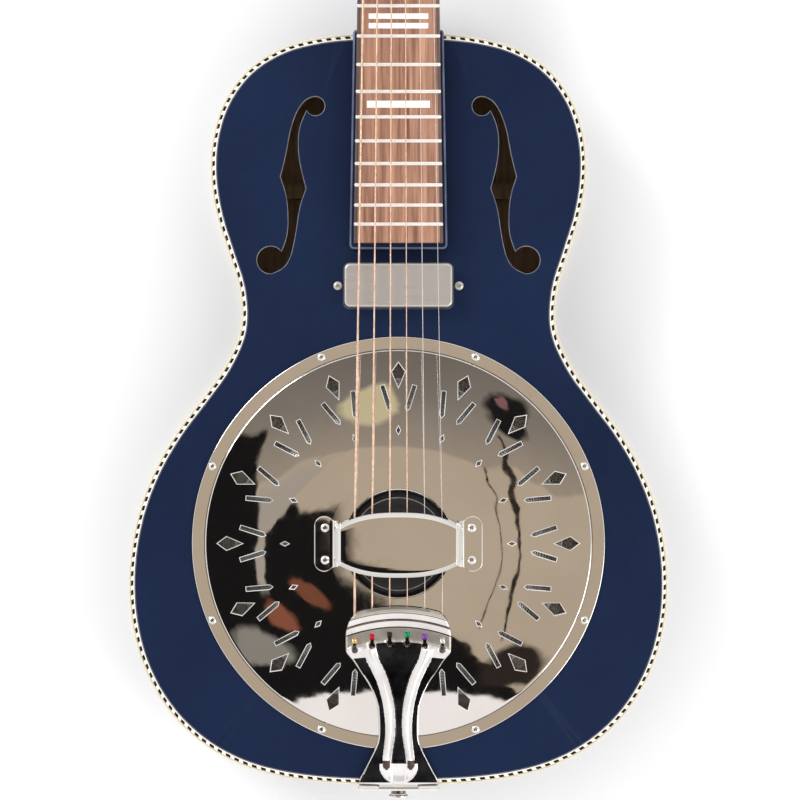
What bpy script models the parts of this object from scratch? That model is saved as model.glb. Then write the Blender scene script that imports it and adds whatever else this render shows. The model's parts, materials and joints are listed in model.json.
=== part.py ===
"""Resonator guitar lying on its back, every piece a separate closed solid.

Frame: the origin is on the resonator's axis, in the plane of the back; +X points to the treble
side, +Y to the headstock and +Z out of the top. Sizes in this file are millimetres: `solid` and
`tool` turn them into metres.
"""
from math import asin, atan2, cos, hypot, pi, radians, sin

import bmesh
import bpy
import numpy as np
from mathutils import Matrix, Vector

MM = 0.001
GAP = 0.3                      # clearance between pieces that touch

# Strings and scale
SCALE_LENGTH = 648.0           # nut to saddle, with the saddle on the Y = 0 line
STRING_RADII = (0.17, 0.22, 0.33, 0.45, 0.57, 0.71)   # string 1 (treble) to string 6 (bass)
SADDLE_SPACING = 11.2
NUT_SPACING = 7.06
FRETS = 20

# Body
TOP = 90.0                     # height of the top's outer face
TOP_THICKNESS = 3.5
BACK_THICKNESS = 3.0
SIDE_THICKNESS = 2.5
TAIL_Y = -155.4                # the lowest point of the outline
SHOULDER_Y = 327.9             # where the neck meets the body
BINDING_WIDTH, BINDING_HEIGHT = 3.6, 6.0
OUTLINE_POINTS = 56
# Treble half of the outline, from the neck round to the tail
HALF_OUTLINE = ((0, SHOULDER_Y), (40.2, 326.3), (72.7, 319.3), (97.6, 303.7), (114, 279.4),
                (120.9, 241), (114.7, 202.6), (103, 165.6), (100.5, 146.2), (108.8, 118.5),
                (136.4, 79.9), (159.4, 40.9), (173.3, -25), (164.5, -77.5), (141.3, -115.2),
                (104.6, -141.2), (60.2, -152.6), (0, TAIL_Y))

# Sound hole on the treble side: two round ends joined by two notched edges
HOLE_EYE, EYE_ARC = (53.5, 281, 6.1), (75, 335)         # x, y, radius and angles in degrees
HOLE_LOBE, LOBE_ARC = (82.2, 182, 8.8), (-117, 143)
HOLE_OUTER_UPPER = ((55.1, 286.9), (59, 285.2), (63.3, 280.6), (67, 273), (70, 262.5), (72, 251.5),
                    (75.9, 235.6))
HOLE_OUTER_LOWER = ((75.9, 235.6), (72.4, 224.5), (70.9, 210), (71.8, 197), (75.2, 187.3))
HOLE_INNER_UPPER = ((59, 278.4), (62.8, 270), (64.6, 258), (63.6, 245), (59.5, 228))
HOLE_INNER_LOWER = ((59.5, 228), (63.2, 217), (65.6, 203), (68, 190), (72.4, 179), (78.2, 174.2))

# Resonator
WELL_INNER, WELL_OUTER, LEDGE_INNER = 122.5, 134.0, 112.0
WELL_BOTTOM, LEDGE_TOP = 60.0, 70.0
CONE_RIM, CONE_APEX, CONE_THICKNESS = 120.6, 30.5, 0.8
CONE_TOP = 95.0
BISCUIT_RADIUS, BISCUIT_THICKNESS = 30.0, 8.0
SADDLE_TOP, SADDLE_THICKNESS, SADDLE_SEAT = TOP + 22.0, 3.0, 3.0
ROUND_SEGMENTS = 48            # a multiple of the 16 repeats of the cover plate's pattern

# Cover plate
PLATE_RADIUS, FLANGE_INNER, DOME_EDGE, DOME_FLAT, PLATE_HOLE = 132.8, 124.8, 121.5, 45.0, 33.6
PLATE_THICKNESS = 1.0
DOME_LOW, DOME_RISE = 3.5, 6.0  # heights above the top
PATTERN_REPEATS = 16
# One repeat of the pattern, about the line from the centre to the headstock
KITE = ((0, 116.7), (-4.6, 110.3), (0, 99.2), (4.6, 110.3))
DIAMOND = ((0, 75.8), (-1.65, 72.7), (0, 69.6), (1.65, 72.7))
SLOT_INNER, SLOT_OUTER, SLOT_HALF = (5.3, 85.1), (10.5, 101.7), 1.65
COVER_SCREWS, COVER_SCREW_CIRCLE, COVER_SCREW_HEAD = 8, 129.4, 2.75
SCREW_SHANK, SCREW_HOLE = 1.3, 1.6

# Neck and fingerboard
BOARD_END = 192.3
BOARD_BOTTOM, BOARD_TOP, FRET_TOP = TOP + 11.0, TOP + 17.0, TOP + 18.0
BOARD_HALF_AT_BODY, BOARD_HALF_AT_NUT = 26.6, 21.75
RISER_END, RISER_HALF_AT_END, RISER_HALF_AT_BODY = 188.4, 31.4, 29.0
NECK_START = SHOULDER_Y + GAP
NUT_BACK = SCALE_LENGTH + 5.2
# Distance from the body and depth of the neck below the board: the heel, then the shaft
NECK_DEPTHS = ((0, 91), (12, 90), (18, 84), (24, 70), (31, 52), (40, 36), (52, 25), (70, 19.5),
               (110, 17.5), (210, 16.5), (318, 15))

# Headstock, in its own frame: x across, y along it from the nut, z out of its face
HEAD_TILT = radians(14)
HEAD_THICKNESS = 15.0
HALF_HEADSTOCK = ((22, 0.4), (22.6, 8), (27, 20), (31, 32), (32.2, 60), (34, 125), (35.6, 158),
                  (31, 171), (18, 174), (9, 179), (0, 181))
POST_X, POST_FIRST_Y, POST_SPACING = 22.0, 48.0, 36.0
POST_RADIUS, POST_HOLE, POST_TOP = 3.0, 3.4, 13.0
TUNER_PLATE = (13.5, 30.5)             # distances from the centre line
TUNER_PLATE_THICKNESS = 1.0
GEAR_TEETH, GEAR_TIP, GEAR_ROOT, GEAR_WIDTH = 14, 4.9, 3.9, 2.4
GEAR_CENTRE_DISTANCE = 6.325
WORM_SHAFT_RADIUS = 1.2
WRAP_HEIGHT, WRAP_TURNS, WRAP_STEPS = 7.4, 1.7, 10

# Truss rod
ROD_Z, ROD_RADIUS, ROD_START, ROD_END = TOP + 5.2, 2.6, 203.0, 662.0

# Pickup
PICKUP_Y, PICKUP_HALF_X, PICKUP_HALF_Y, PICKUP_TOP = 165.4, 34.6, 14.0, TOP + 14.0
PICKUP_BASE_Z = 76.8
PICKUP_SCREW_X = 39.0

# Tailpiece
HINGE_Y, HINGE_Z = -157.4, TOP + 1.2
KNUCKLE_RADIUS, PIN_RADIUS = 1.7, 0.85
BRACKET_HALF, KNUCKLE_HALF = 25.5, 12.5
CROWN_FRONT, BALL_Y, KEYHOLE_STEP, CROWN_SAG = -39.7, -57.4, 6.0, 5.4

# End pin and jack in one: its height, radii, and places along its axis, outwards from the tail
JACK_Z = 45.0
PIN_NECK, PIN_FLANGE, JACK_BARREL, JACK_SOCKET = 4.75, 6.45, 5.9, 3.3
BARREL_START, BARREL_END, SOCKET_END = -42.0, -3.8, -24.0
FLANGE_START, PIN_END = 12.2, 13.5

FINISHES = {                   # linear colour, roughness, metallic
    "blue_paint": ((0.012, 0.024, 0.078), 0.42, 0.0),
    "rope_binding": ((0.62, 0.55, 0.42), 0.45, 0.0),
    "plain_wood": ((0.42, 0.27, 0.15), 0.6, 0.0),
    "stained_wood": ((0.035, 0.024, 0.018), 0.5, 0.0),
    "fingerboard_wood": ((0.34, 0.15, 0.08), 0.5, 0.0),
    "chrome": ((0.72, 0.70, 0.67), 0.06, 1.0),
    "satin_nickel": ((0.48, 0.45, 0.40), 0.25, 1.0),
    "spun_aluminium": ((0.62, 0.62, 0.62), 0.3, 1.0),
    "steel": ((0.55, 0.55, 0.55), 0.3, 1.0),
    "bronze": ((0.62, 0.38, 0.22), 0.35, 1.0),
    "ivory_plastic": ((0.80, 0.76, 0.66), 0.4, 0.0),
    "black_plastic": ((0.02, 0.02, 0.02), 0.4, 0.0),
}


def clear_scene():
    for item in list(bpy.data.objects):
        bpy.data.objects.remove(item)


# ---------------------------------------------------------------- objects

def metres(frame):
    placed = frame.copy()
    placed.translation = frame.translation * MM
    return placed


def add_object(name, shape, frame):
    mesh = bpy.data.meshes.new(name)
    bmesh.ops.scale(shape, vec=(MM, MM, MM), verts=shape.verts[:])
    shape.to_mesh(mesh)
    shape.free()
    item = bpy.data.objects.new(name, mesh)
    item.matrix_world = metres(frame)
    bpy.context.scene.collection.objects.link(item)
    return item


def paint(item, finish):
    colour, roughness, metallic = FINISHES[finish]
    material = bpy.data.materials.new(f"{item.name}_{finish}")
    material.use_nodes = True
    shader = material.node_tree.nodes["Principled BSDF"]
    shader.inputs["Base Color"].default_value = (*colour, 1.0)
    shader.inputs["Roughness"].default_value = roughness
    shader.inputs["Metallic"].default_value = metallic
    item.data.materials.append(material)


def solid(name, finish, shape, frame=Matrix()):
    """A piece of the guitar: a mesh in millimetres, placed by a frame."""
    item = add_object(name, shape, frame)
    item.data.shade_smooth()
    item.data.set_sharp_from_angle(angle=radians(30))
    paint(item, finish)
    return item


def tool(name, shape, frame=Matrix()):
    """A shape that only cuts or joins others."""
    item = add_object(name, shape, frame)
    item.hide_render = True
    item.display_type = "WIRE"
    return item


def combine(item, other, operation):
    modifier = item.modifiers.new(other.name, "BOOLEAN")
    modifier.operation = operation
    modifier.object = other
    modifier.solver = "EXACT"


# ---------------------------------------------------------------- curves and loops

def spline_slopes(knots, steps, closed):
    """Slopes of the cubic spline through the knots: periodic if closed, natural if open."""
    count = len(knots)
    system = np.zeros((count, count))
    right = np.zeros(knots.shape)
    for i in range(count):
        if closed or i > 0:
            system[i, i - 1] += 1 / steps[i - 1]
            system[i, i] += 2 / steps[i - 1]
            right[i] += 3 * (knots[i] - knots[i - 1]) / steps[i - 1] ** 2
        if closed or i < count - 1:
            following = (i + 1) % count
            system[i, following] += 1 / steps[i]
            system[i, i] += 2 / steps[i]
            right[i] += 3 * (knots[following] - knots[i]) / steps[i] ** 2
    return np.linalg.solve(system, right)


def smooth(points, closed=False, per_span=4):
    """Points on the smooth curve through the given ones, per_span of them to each span."""
    knots = np.array(points, dtype=float)
    steps = np.linalg.norm(np.roll(knots, -1, axis=0) - knots, axis=1)
    slopes = spline_slopes(knots, steps, closed)
    curve = []
    for i in range(len(knots) if closed else len(knots) - 1):
        j = (i + 1) % len(knots)
        for t in np.arange(per_span) / per_span:
            start = (1 + 2 * t) * (1 - t) ** 2 * knots[i] + t * (1 - t) ** 2 * steps[i] * slopes[i]
            end = t * t * (3 - 2 * t) * knots[j] + t * t * (t - 1) * steps[i] * slopes[j]
            curve.append(start + end)
    if not closed:
        curve.append(knots[-1])
    return np.array(curve)


def evenly(loop, count):
    """The closed loop again, as count points at equal distances along it."""
    closed = np.vstack((loop, loop[:1]))
    lengths = np.linalg.norm(np.diff(closed, axis=0), axis=1)
    travelled = np.concatenate(([0], np.cumsum(lengths)))
    wanted = np.linspace(0, travelled[-1], count, endpoint=False)
    return np.column_stack([np.interp(wanted, travelled, closed[:, axis]) for axis in (0, 1)])


def inset(loop, distance):
    """The clockwise loop moved inwards."""
    ahead = np.roll(loop, -1, axis=0) - np.roll(loop, 1, axis=0)
    inward = np.column_stack((ahead[:, 1], -ahead[:, 0]))
    return loop + distance * inward / np.linalg.norm(inward, axis=1)[:, None]


def mirrored(points):
    return [(-x, y) for x, y in points]


def circle(radius, segments, centre=(0, 0)):
    angles = np.arange(segments) * 2 * pi / segments
    return [(centre[0] + radius * cos(a), centre[1] + radius * sin(a)) for a in angles]


def arc(centre_radius, start, end, steps):
    """Points of an arc between two angles in degrees, without its first and last point."""
    x, y, radius = centre_radius
    angles = np.radians(np.linspace(start, end, steps + 2)[1:-1])
    return [(x + radius * cos(a), y + radius * sin(a)) for a in angles]


def rounded_rectangle(half_x, half_y, radius, steps=2):
    loop = []
    for corner, (sign_x, sign_y) in enumerate(((1, 1), (-1, 1), (-1, -1), (1, -1))):
        for step in range(steps + 1):
            angle = (corner + step / steps) * pi / 2
            loop.append((sign_x * (half_x - radius) + radius * cos(angle),
                         sign_y * (half_y - radius) + radius * sin(angle)))
    return loop


def shifted(loop, dx, dy):
    return [(x + dx, y + dy) for x, y in loop]


def body_outline():
    bass_half = mirrored(HALF_OUTLINE[-2:0:-1])
    return evenly(smooth(list(HALF_OUTLINE) + bass_half, closed=True, per_span=16), OUTLINE_POINTS)


def sound_hole(side):
    """Outline of one f-shaped hole; side is 1 for treble and -1 for bass."""
    loop = arc(HOLE_EYE, *EYE_ARC, 10)
    loop += list(smooth(HOLE_INNER_UPPER, per_span=2)[:-1])
    loop += list(smooth(HOLE_INNER_LOWER, per_span=2)[:-1])
    loop += arc(HOLE_LOBE, *LOBE_ARC, 10)
    loop += list(smooth(HOLE_OUTER_LOWER[::-1], per_span=2)[:-1])
    loop += list(smooth(HOLE_OUTER_UPPER[::-1], per_span=2))
    return [(side * x, y) for x, y in loop]


# ---------------------------------------------------------------- solids

def at_height(loop, z):
    return [(x, y, z) for x, y in loop]


def skin(rings, cyclic=False):
    """Closed solid through rings of equal point counts; cyclic joins the last to the first."""
    shape = bmesh.new()
    verts = [[shape.verts.new(point) for point in ring] for ring in rings]
    pairs = list(zip(verts, verts[1:]))
    if cyclic:
        pairs.append((verts[-1], verts[0]))
    else:
        shape.faces.new(verts[0])
        shape.faces.new(verts[-1])
    for low, high in pairs:
        for i in range(len(low)):
            shape.faces.new((low[i - 1], low[i], high[i], high[i - 1]))
    bmesh.ops.recalc_face_normals(shape, faces=shape.faces[:])
    return shape


def lathe(profile, segments, cyclic=False):
    """Solid turned about Z from (radius, height) points; cyclic makes a ring with a bore."""
    return skin([at_height(circle(radius, segments), z) for radius, z in profile], cyclic)


def cylinder(radius, low, high, segments=12, centre=(0, 0)):
    ring = circle(radius, segments, centre)
    return skin([at_height(ring, low), at_height(ring, high)])


def box(x_range, y_range, z_range):
    loop = [(x_range[0], y_range[0]), (x_range[1], y_range[0]),
            (x_range[1], y_range[1]), (x_range[0], y_range[1])]
    return skin([at_height(loop, z_range[0]), at_height(loop, z_range[1])])


def prism(loops, low, high):
    """Plate between two heights; every loop after the first is a hole."""
    shape = bmesh.new()
    edges = []
    for loop in loops:
        verts = [shape.verts.new((x, y, low)) for x, y in loop]
        edges += [shape.edges.new(pair) for pair in zip(verts, verts[1:] + verts[:1])]
    bmesh.ops.triangle_fill(shape, use_beauty=True, edges=edges)
    extruded = bmesh.ops.extrude_face_region(shape, geom=shape.faces[:])
    raised = [part for part in extruded["geom"] if isinstance(part, bmesh.types.BMVert)]
    bmesh.ops.translate(shape, vec=(0, 0, high - low), verts=raised)
    bmesh.ops.recalc_face_normals(shape, faces=shape.faces[:])
    return shape


def merged(shapes):
    """Several separate bodies as one mesh, for a tool that cuts in many places."""
    whole = bmesh.new()
    for shape in shapes:
        piece = bpy.data.meshes.new("piece")
        shape.to_mesh(piece)
        shape.free()
        whole.from_mesh(piece)
        bpy.data.meshes.remove(piece)
    return whole


def turned(shape, matrix):
    bmesh.ops.transform(shape, matrix=matrix, verts=shape.verts[:])
    return shape


def round_the_body(outline, profile):
    """Strip that follows the outline, with a section of (inset, height) points."""
    return skin([at_height(inset(outline, depth), z) for depth, z in profile], cyclic=True)


# ---------------------------------------------------------------- body

def screw_places():
    for k in range(COVER_SCREWS):
        angle = 2 * pi * (k + 0.5) / COVER_SCREWS
        yield COVER_SCREW_CIRCLE * cos(angle), COVER_SCREW_CIRCLE * sin(angle)


def pickup_screw_places():
    return (-PICKUP_SCREW_X, PICKUP_Y), (PICKUP_SCREW_X, PICKUP_Y)


def build_soundboard(outline):
    edge = inset(outline, BINDING_WIDTH + GAP)
    pickup = rounded_rectangle(PICKUP_HALF_X + 0.6, PICKUP_HALF_Y + 0.6, 4)
    holes = [circle(WELL_INNER, ROUND_SEGMENTS), shifted(pickup, 0, PICKUP_Y),
             sound_hole(1), sound_hole(-1)]
    holes += [circle(SCREW_HOLE, 8, place) for place in screw_places()]
    holes += [circle(SCREW_HOLE, 8, place) for place in pickup_screw_places()]
    solid("soundboard", "blue_paint", prism([edge] + holes, TOP - TOP_THICKNESS, TOP))


def build_back(outline):
    edge = inset(outline, BINDING_WIDTH + GAP)
    solid("back_plate", "blue_paint", prism([edge], 0, BACK_THICKNESS))


def build_sides(outline):
    low, high = BINDING_HEIGHT + GAP, TOP - BINDING_HEIGHT - GAP
    profile = ((0, low), (0, high), (SIDE_THICKNESS, high), (SIDE_THICKNESS, low))
    sides = solid("sides", "blue_paint", round_the_body(outline, profile))
    combine(sides, jack_hole_tool("sides_jack_hole", PIN_NECK, -6, 2), "DIFFERENCE")


def build_bindings(outline):
    for name, low, high in (("top_binding", TOP - BINDING_HEIGHT, TOP),
                            ("back_binding", GAP, BINDING_HEIGHT)):
        profile = ((0, low), (0, high), (BINDING_WIDTH, high), (BINDING_WIDTH, low))
        solid(name, "rope_binding", round_the_body(outline, profile))


def build_linings(outline):
    """Triangular strips in the corners, notched round the bindings."""
    inner, notch = SIDE_THICKNESS + GAP, BINDING_WIDTH + GAP
    section = ((notch, 0), (8.5, 0), (inner, 10.5), (inner, 3.3), (notch, 3.3))
    floor, ceiling = BACK_THICKNESS + GAP, TOP - TOP_THICKNESS - GAP
    back = [(depth, floor + rise) for depth, rise in section]
    top = [(depth, ceiling - rise) for depth, rise in section]
    solid("back_lining", "plain_wood", round_the_body(outline, back))
    solid("top_lining", "plain_wood", round_the_body(outline, top))


def along_x(profile, half_width):
    """Profile of (y, z) points given a width across X."""
    return skin([[(x, y, z) for y, z in profile] for x in (-half_width, half_width)])


def build_blocks():
    """Neck and tail blocks: full height, with a step outwards between the linings."""
    floor, ceiling = BACK_THICKNESS + GAP, TOP - TOP_THICKNESS - GAP
    low, high = floor + 11, ceiling - 11
    for name, inner, step, outer, half in (("neck_block", 262, 316.7, 323.1, 34),
                                           ("tail_block", -135.4, -145.2, -151.4, 30)):
        profile = ((inner, floor), (step, floor), (step, low), (outer, low),
                   (outer, high), (step, high), (step, ceiling), (inner, ceiling))
        block = solid(name, "plain_wood", along_x(profile, half))
        if name == "tail_block":
            combine(block, jack_hole_tool("block_jack_hole", JACK_BARREL, -30, 0), "DIFFERENCE")


def build_sound_well():
    ceiling = TOP - TOP_THICKNESS - GAP
    profile = ((WELL_INNER, ceiling), (WELL_OUTER - GAP, ceiling), (WELL_OUTER - GAP, WELL_BOTTOM),
               (LEDGE_INNER, WELL_BOTTOM), (LEDGE_INNER, LEDGE_TOP), (WELL_INNER, LEDGE_TOP))
    well = solid("sound_well", "plain_wood", lathe(profile, ROUND_SEGMENTS, cyclic=True))
    holes = merged([cylinder(SCREW_HOLE, 79.5, TOP, 8, place) for place in screw_places()])
    combine(well, tool("well_screw_holes", holes), "DIFFERENCE")


def build_brace(name, y_range, half_length, foot, crest):
    """Bar across the body, thin at its ends; foot is the glued face's height."""
    rise = crest - foot
    profile = ((-half_length, foot), (half_length, foot), (half_length, foot + 0.3 * rise),
               (half_length - 14, crest), (14 - half_length, crest),
               (-half_length, foot + 0.3 * rise))
    solid(name, "plain_wood", skin([[(x, y, z) for x, z in profile] for y in y_range]))


def build_braces():
    floor, ceiling = BACK_THICKNESS + GAP, TOP - TOP_THICKNESS - GAP
    build_brace("top_brace", (200, 207), 57, ceiling, ceiling - 10)
    build_brace("back_brace_upper", (226, 236), 108, floor, floor + 11)
    build_brace("back_brace_lower", (-65, -55), 157, floor, floor + 11)


# ---------------------------------------------------------------- resonator

def dome_height(radius):
    """Height of the cover plate's crown over the top."""
    outward = (radius - DOME_FLAT) / (DOME_EDGE + 3.3 - DOME_FLAT)
    return DOME_LOW + DOME_RISE * (1 - outward ** 2)


def build_cone():
    rim_low, screw_hole = LEDGE_TOP + GAP, 2.4
    rim_high, under = rim_low + CONE_THICKNESS, CONE_TOP - CONE_THICKNESS
    profile = [(screw_hole, CONE_TOP), (CONE_APEX, CONE_TOP), (75, 87.2), (113.5, 74.2),
               (116.5, rim_high), (CONE_RIM, rim_high), (CONE_RIM, rim_low), (116, rim_low),
               (113, 73.4), (74.8, 86.3), (CONE_APEX - 0.2, under), (screw_hole, under)]
    solid("resonator_cone", "spun_aluminium", lathe(profile, 40, cyclic=True))


def build_biscuit():
    low = CONE_TOP + GAP
    high = low + BISCUIT_THICKNESS
    profile = ((BISCUIT_RADIUS, low), (BISCUIT_RADIUS, high - 1), (BISCUIT_RADIUS - 1, high))
    biscuit = solid("biscuit", "stained_wood", lathe(profile, 32))
    half_slot = SADDLE_THICKNESS / 2 + GAP
    slot = box((-35, 35), (-half_slot, half_slot), (high - SADDLE_SEAT, high + 2))
    bore = cylinder(1.8, low - 1, high - 4)
    combine(biscuit, tool("biscuit_cuts", merged([slot, bore])), "DIFFERENCE")


def build_saddle():
    """Upright strip with a rounded top, thinner towards the strings."""
    foot = CONE_TOP + GAP + BISCUIT_THICKNESS - SADDLE_SEAT + GAP
    half = SADDLE_THICKNESS / 2
    section = ((-half, foot), (half, foot), (half, SADDLE_TOP - 4), (0.6, SADDLE_TOP),
               (-0.6, SADDLE_TOP), (-half, SADDLE_TOP - 4))
    end_section = [(y, min(z, SADDLE_TOP - 3)) for y, z in section]
    rings = [[(x, y, z) for y, z in ring] for x, ring in
             ((-29.8, end_section), (-29, section), (29, section), (29.8, end_section))]
    solid("saddle", "stained_wood", skin(rings))


def build_biscuit_screw():
    under = CONE_TOP - CONE_THICKNESS - GAP
    profile = ((2.6, under - 2), (3.6, under - 1.2), (3.6, under), (1.5, under), (1.5, 98.6))
    solid("biscuit_screw", "steel", lathe(profile, 10))


def slot_outline():
    """Slot with a pointed inner end and a square outer end, on the treble side of its repeat."""
    inner, outer = Vector(SLOT_INNER), Vector(SLOT_OUTER)
    along = (outer - inner).normalized() * SLOT_HALF
    across = Vector((along.y, -along.x))
    points = (inner - across + along, inner - 0.3 * along, inner + across + along, outer + across,
              outer - across)
    return [point[:] for point in points]


def build_pattern_tool():
    """Sixteen repeats of a kite, a splayed pair of slots and a small diamond."""
    slot = slot_outline()
    shapes = []
    for k in range(PATTERN_REPEATS):
        turn = Matrix.Rotation(2 * pi * k / PATTERN_REPEATS, 4, "Z")
        for loop in (KITE, slot, mirrored(slot), DIAMOND):
            shapes.append(turned(skin([at_height(loop, TOP - 2), at_height(loop, TOP + 14)]), turn))
    return tool("cover_pattern", merged(shapes))


def build_coverplate():
    radii = (100, 75, DOME_FLAT, PLATE_HOLE)
    heights = [TOP + dome_height(max(radius, DOME_FLAT)) for radius in radii]
    low = TOP + GAP
    upper = [(PLATE_RADIUS, low + PLATE_THICKNESS), (FLANGE_INNER, low + PLATE_THICKNESS),
             (DOME_EDGE, TOP + dome_height(DOME_EDGE))] + list(zip(radii, heights))
    lower = [(radius, z - PLATE_THICKNESS) for radius, z in zip(radii, heights)][::-1]
    lower += [(DOME_EDGE - 0.6, TOP + dome_height(DOME_EDGE) - PLATE_THICKNESS),
              (FLANGE_INNER - 0.9, low), (PLATE_RADIUS, low)]
    plate = solid("coverplate", "chrome", lathe(upper + lower, ROUND_SEGMENTS, cyclic=True))
    combine(plate, build_pattern_tool(), "DIFFERENCE")
    holes = [cylinder(SCREW_HOLE, TOP - 1, TOP + 4, 8, place) for place in screw_places()]
    combine(plate, tool("flange_screw_holes", merged(holes)), "DIFFERENCE")


def build_cover_screws():
    seat = TOP + GAP + PLATE_THICKNESS + GAP
    head = COVER_SCREW_HEAD
    profile = ((SCREW_SHANK, 80.2), (SCREW_SHANK, seat), (head, seat), (head, seat + 0.7),
               (0.6 * head, seat + 1.7))
    for k, (x, y) in enumerate(screw_places()):
        place = Matrix.Translation((x, y, 0))
        solid(f"coverplate_screw_{k + 1}", "chrome", lathe(profile, 8), place)


def build_hand_rest():
    """Bridge over the saddle: an arched plate, two legs and two rounded feet."""
    foot_z = TOP + DOME_LOW + DOME_RISE + GAP
    thickness = 1.5
    high = TOP + 32
    low = foot_z + thickness
    # distance from the middle, height of the upper face, half the depth along Y, lean
    stations = ((0, high, 20.75, 0), (14, high, 20.3, 0), (27, high - 0.2, 18.4, 0),
                (36, high - 0.7, 15, 0.3), (39.4, high - 2.4, 13.75, 0.8), (40, high - 5, 13.75, 1),
                (40.6, low + 1.6, 14.2, 1), (42.2, low, 16.2, 0.5), (45, low, 17.6, 0),
                (50, low, 17.3, 0), (53, low, 15.2, 0), (54.2, low, 11.5, 0))
    half = []
    for x, z, depth, lean in stations:
        under_x, under_z = x - thickness * lean, z - thickness * (1 - lean)
        half.append([(x, -depth, z), (x, depth, z), (under_x, depth, under_z),
                     (under_x, -depth, under_z)])
    bass = [[(-x, y, z) for x, y, z in ring] for ring in half[:0:-1]]
    solid("hand_rest", "chrome", skin(bass + half))


# ---------------------------------------------------------------- neck

def board_half(y):
    """Half the fingerboard's width at a distance from the saddle."""
    slope = (BOARD_HALF_AT_BODY - BOARD_HALF_AT_NUT) / (SCALE_LENGTH / 2)
    return BOARD_HALF_AT_NUT + slope * (SCALE_LENGTH - y)


def headstock_frame():
    return Matrix.Translation((0, NUT_BACK + GAP, BOARD_BOTTOM)) @ Matrix.Rotation(-HEAD_TILT, 4, "X")


def neck_section(half_width, depth, top):
    """D-shaped section, fuller than an ellipse, as (x, z) points from one edge to the other."""
    angles = np.linspace(0, pi, 11)
    return [(half_width * cos(a), top - depth * max(sin(a), 0.0) ** 0.85) for a in angles]


def neck_rings():
    rings = []
    for distance, depth in NECK_DEPTHS:
        y = NECK_START + distance
        section = neck_section(board_half(y), depth, BOARD_BOTTOM)
        rings.append([(x, y, z) for x, z in section])
    frame = headstock_frame()
    for along in (1.0, 9.0):
        section = neck_section(BOARD_HALF_AT_NUT - 0.4, HEAD_THICKNESS - 0.4, -0.2)
        rings.append([frame @ Vector((x, along, z)) for x, z in section])
    return rings


def riser_shape():
    """Block that carries the fingerboard over the top."""
    corner = 3.0
    end, start = RISER_END, NECK_START + 0.5
    loop = [(RISER_HALF_AT_BODY - 1, start), (RISER_HALF_AT_BODY, start - 1.5),
            (RISER_HALF_AT_END, end + corner)]
    loop += arc((RISER_HALF_AT_END - corner, end + corner, corner), 0, -90, 2)
    loop += [(RISER_HALF_AT_END - corner, end)]
    loop += mirrored(loop[::-1])
    return skin([at_height(loop, TOP + GAP), at_height(loop, BOARD_BOTTOM)])


def headstock_shape():
    outline = [Vector(point) for point in HALF_HEADSTOCK]
    loop = [(p.x, p.y) for p in outline] + [(-p.x, p.y) for p in outline[-2::-1]]
    return skin([at_height(loop, -HEAD_THICKNESS), at_height(loop, 0)])


def post_places(side):
    """Places of the three posts of one side, in the headstock's frame, from the nut upwards."""
    return [(side * POST_X, POST_FIRST_Y + POST_SPACING * k) for k in range(3)]


def build_neck():
    frame = headstock_frame()
    neck = solid("neck", "blue_paint", skin(neck_rings()))
    combine(neck, tool("riser", riser_shape()), "UNION")
    combine(neck, tool("headstock", headstock_shape(), frame), "UNION")
    channel = box((-3, 3), (ROD_START - 3, NUT_BACK + 24), (ROD_Z - 3, BOARD_BOTTOM + 4))
    combine(neck, tool("rod_channel", channel), "DIFFERENCE")
    places = post_places(1) + post_places(-1)
    bores = [cylinder(POST_HOLE, -HEAD_THICKNESS - 3, 3, 10, place) for place in places]
    combine(neck, tool("post_bores", merged(bores), frame), "DIFFERENCE")


def build_truss_rod():
    """Threaded rod with its adjusting end at the nut; it turns about its own axis."""
    length = ROD_END - ROD_START
    profile = ((ROD_RADIUS, 0), (ROD_RADIUS, length), (1.2, length), (1.2, length - 6))
    frame = Matrix.Translation((0, ROD_START, ROD_Z)) @ Matrix.Rotation(-pi / 2, 4, "X")
    solid("truss_rod", "steel", lathe(profile, 12), frame)


def fret_y(number):
    return SCALE_LENGTH * 2 ** (-number / 12)


def build_fingerboard():
    """Tapered board with a raised crown for each fret."""
    crown = FRET_TOP - BOARD_TOP
    profile = [(BOARD_END, BOARD_BOTTOM + GAP), (BOARD_END, BOARD_TOP)]
    for number in range(FRETS, 0, -1):
        y = fret_y(number)
        profile += [(y - 1, BOARD_TOP), (y - 0.5, BOARD_TOP + crown), (y + 0.5, BOARD_TOP + crown),
                    (y + 1, BOARD_TOP)]
    profile += [(SCALE_LENGTH, BOARD_TOP), (SCALE_LENGTH, BOARD_BOTTOM + GAP)]
    sides = [[(side * board_half(y), y, z) for y, z in profile] for side in (-1, 1)]
    solid("fingerboard", "fingerboard_wood", skin(sides))


def string_x(number, spacing):
    return (3.5 - number) * spacing


def build_nut():
    low, high = BOARD_BOTTOM + GAP, FRET_TOP + 1.4
    front, back = SCALE_LENGTH + GAP, NUT_BACK
    half = BOARD_HALF_AT_NUT
    profile = ((front, low), (front, high), (back - 1.5, high - 0.3), (back, high - 1.6), (back, low))
    nut = solid("nut", "ivory_plastic", along_x(profile, half))
    slots = []
    for number, radius in enumerate(STRING_RADII, 1):
        x = string_x(number, NUT_SPACING)
        half_slot = radius + GAP
        slots.append(box((x - half_slot, x + half_slot), (front - 1, back + 1),
                         (FRET_TOP + 0.25, high + 1)))
    combine(nut, tool("nut_slots", merged(slots)), "DIFFERENCE")


def build_rod_cover():
    loop = [(8, 1.5), (9, 6), (7.5, 18), (3.5, 29), (-3.5, 29), (-7.5, 18), (-9, 6), (-8, 1.5)]
    shape = skin([at_height(loop, GAP), at_height(loop, 1.8)])
    solid("truss_rod_cover", "black_plastic", shape, headstock_frame())


# ---------------------------------------------------------------- tuners

def gear_height():
    """Middle of the gears and worm shafts, below the headstock's face."""
    return -HEAD_THICKNESS - GAP - TUNER_PLATE_THICKNESS - GAP - GEAR_WIDTH / 2


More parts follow.
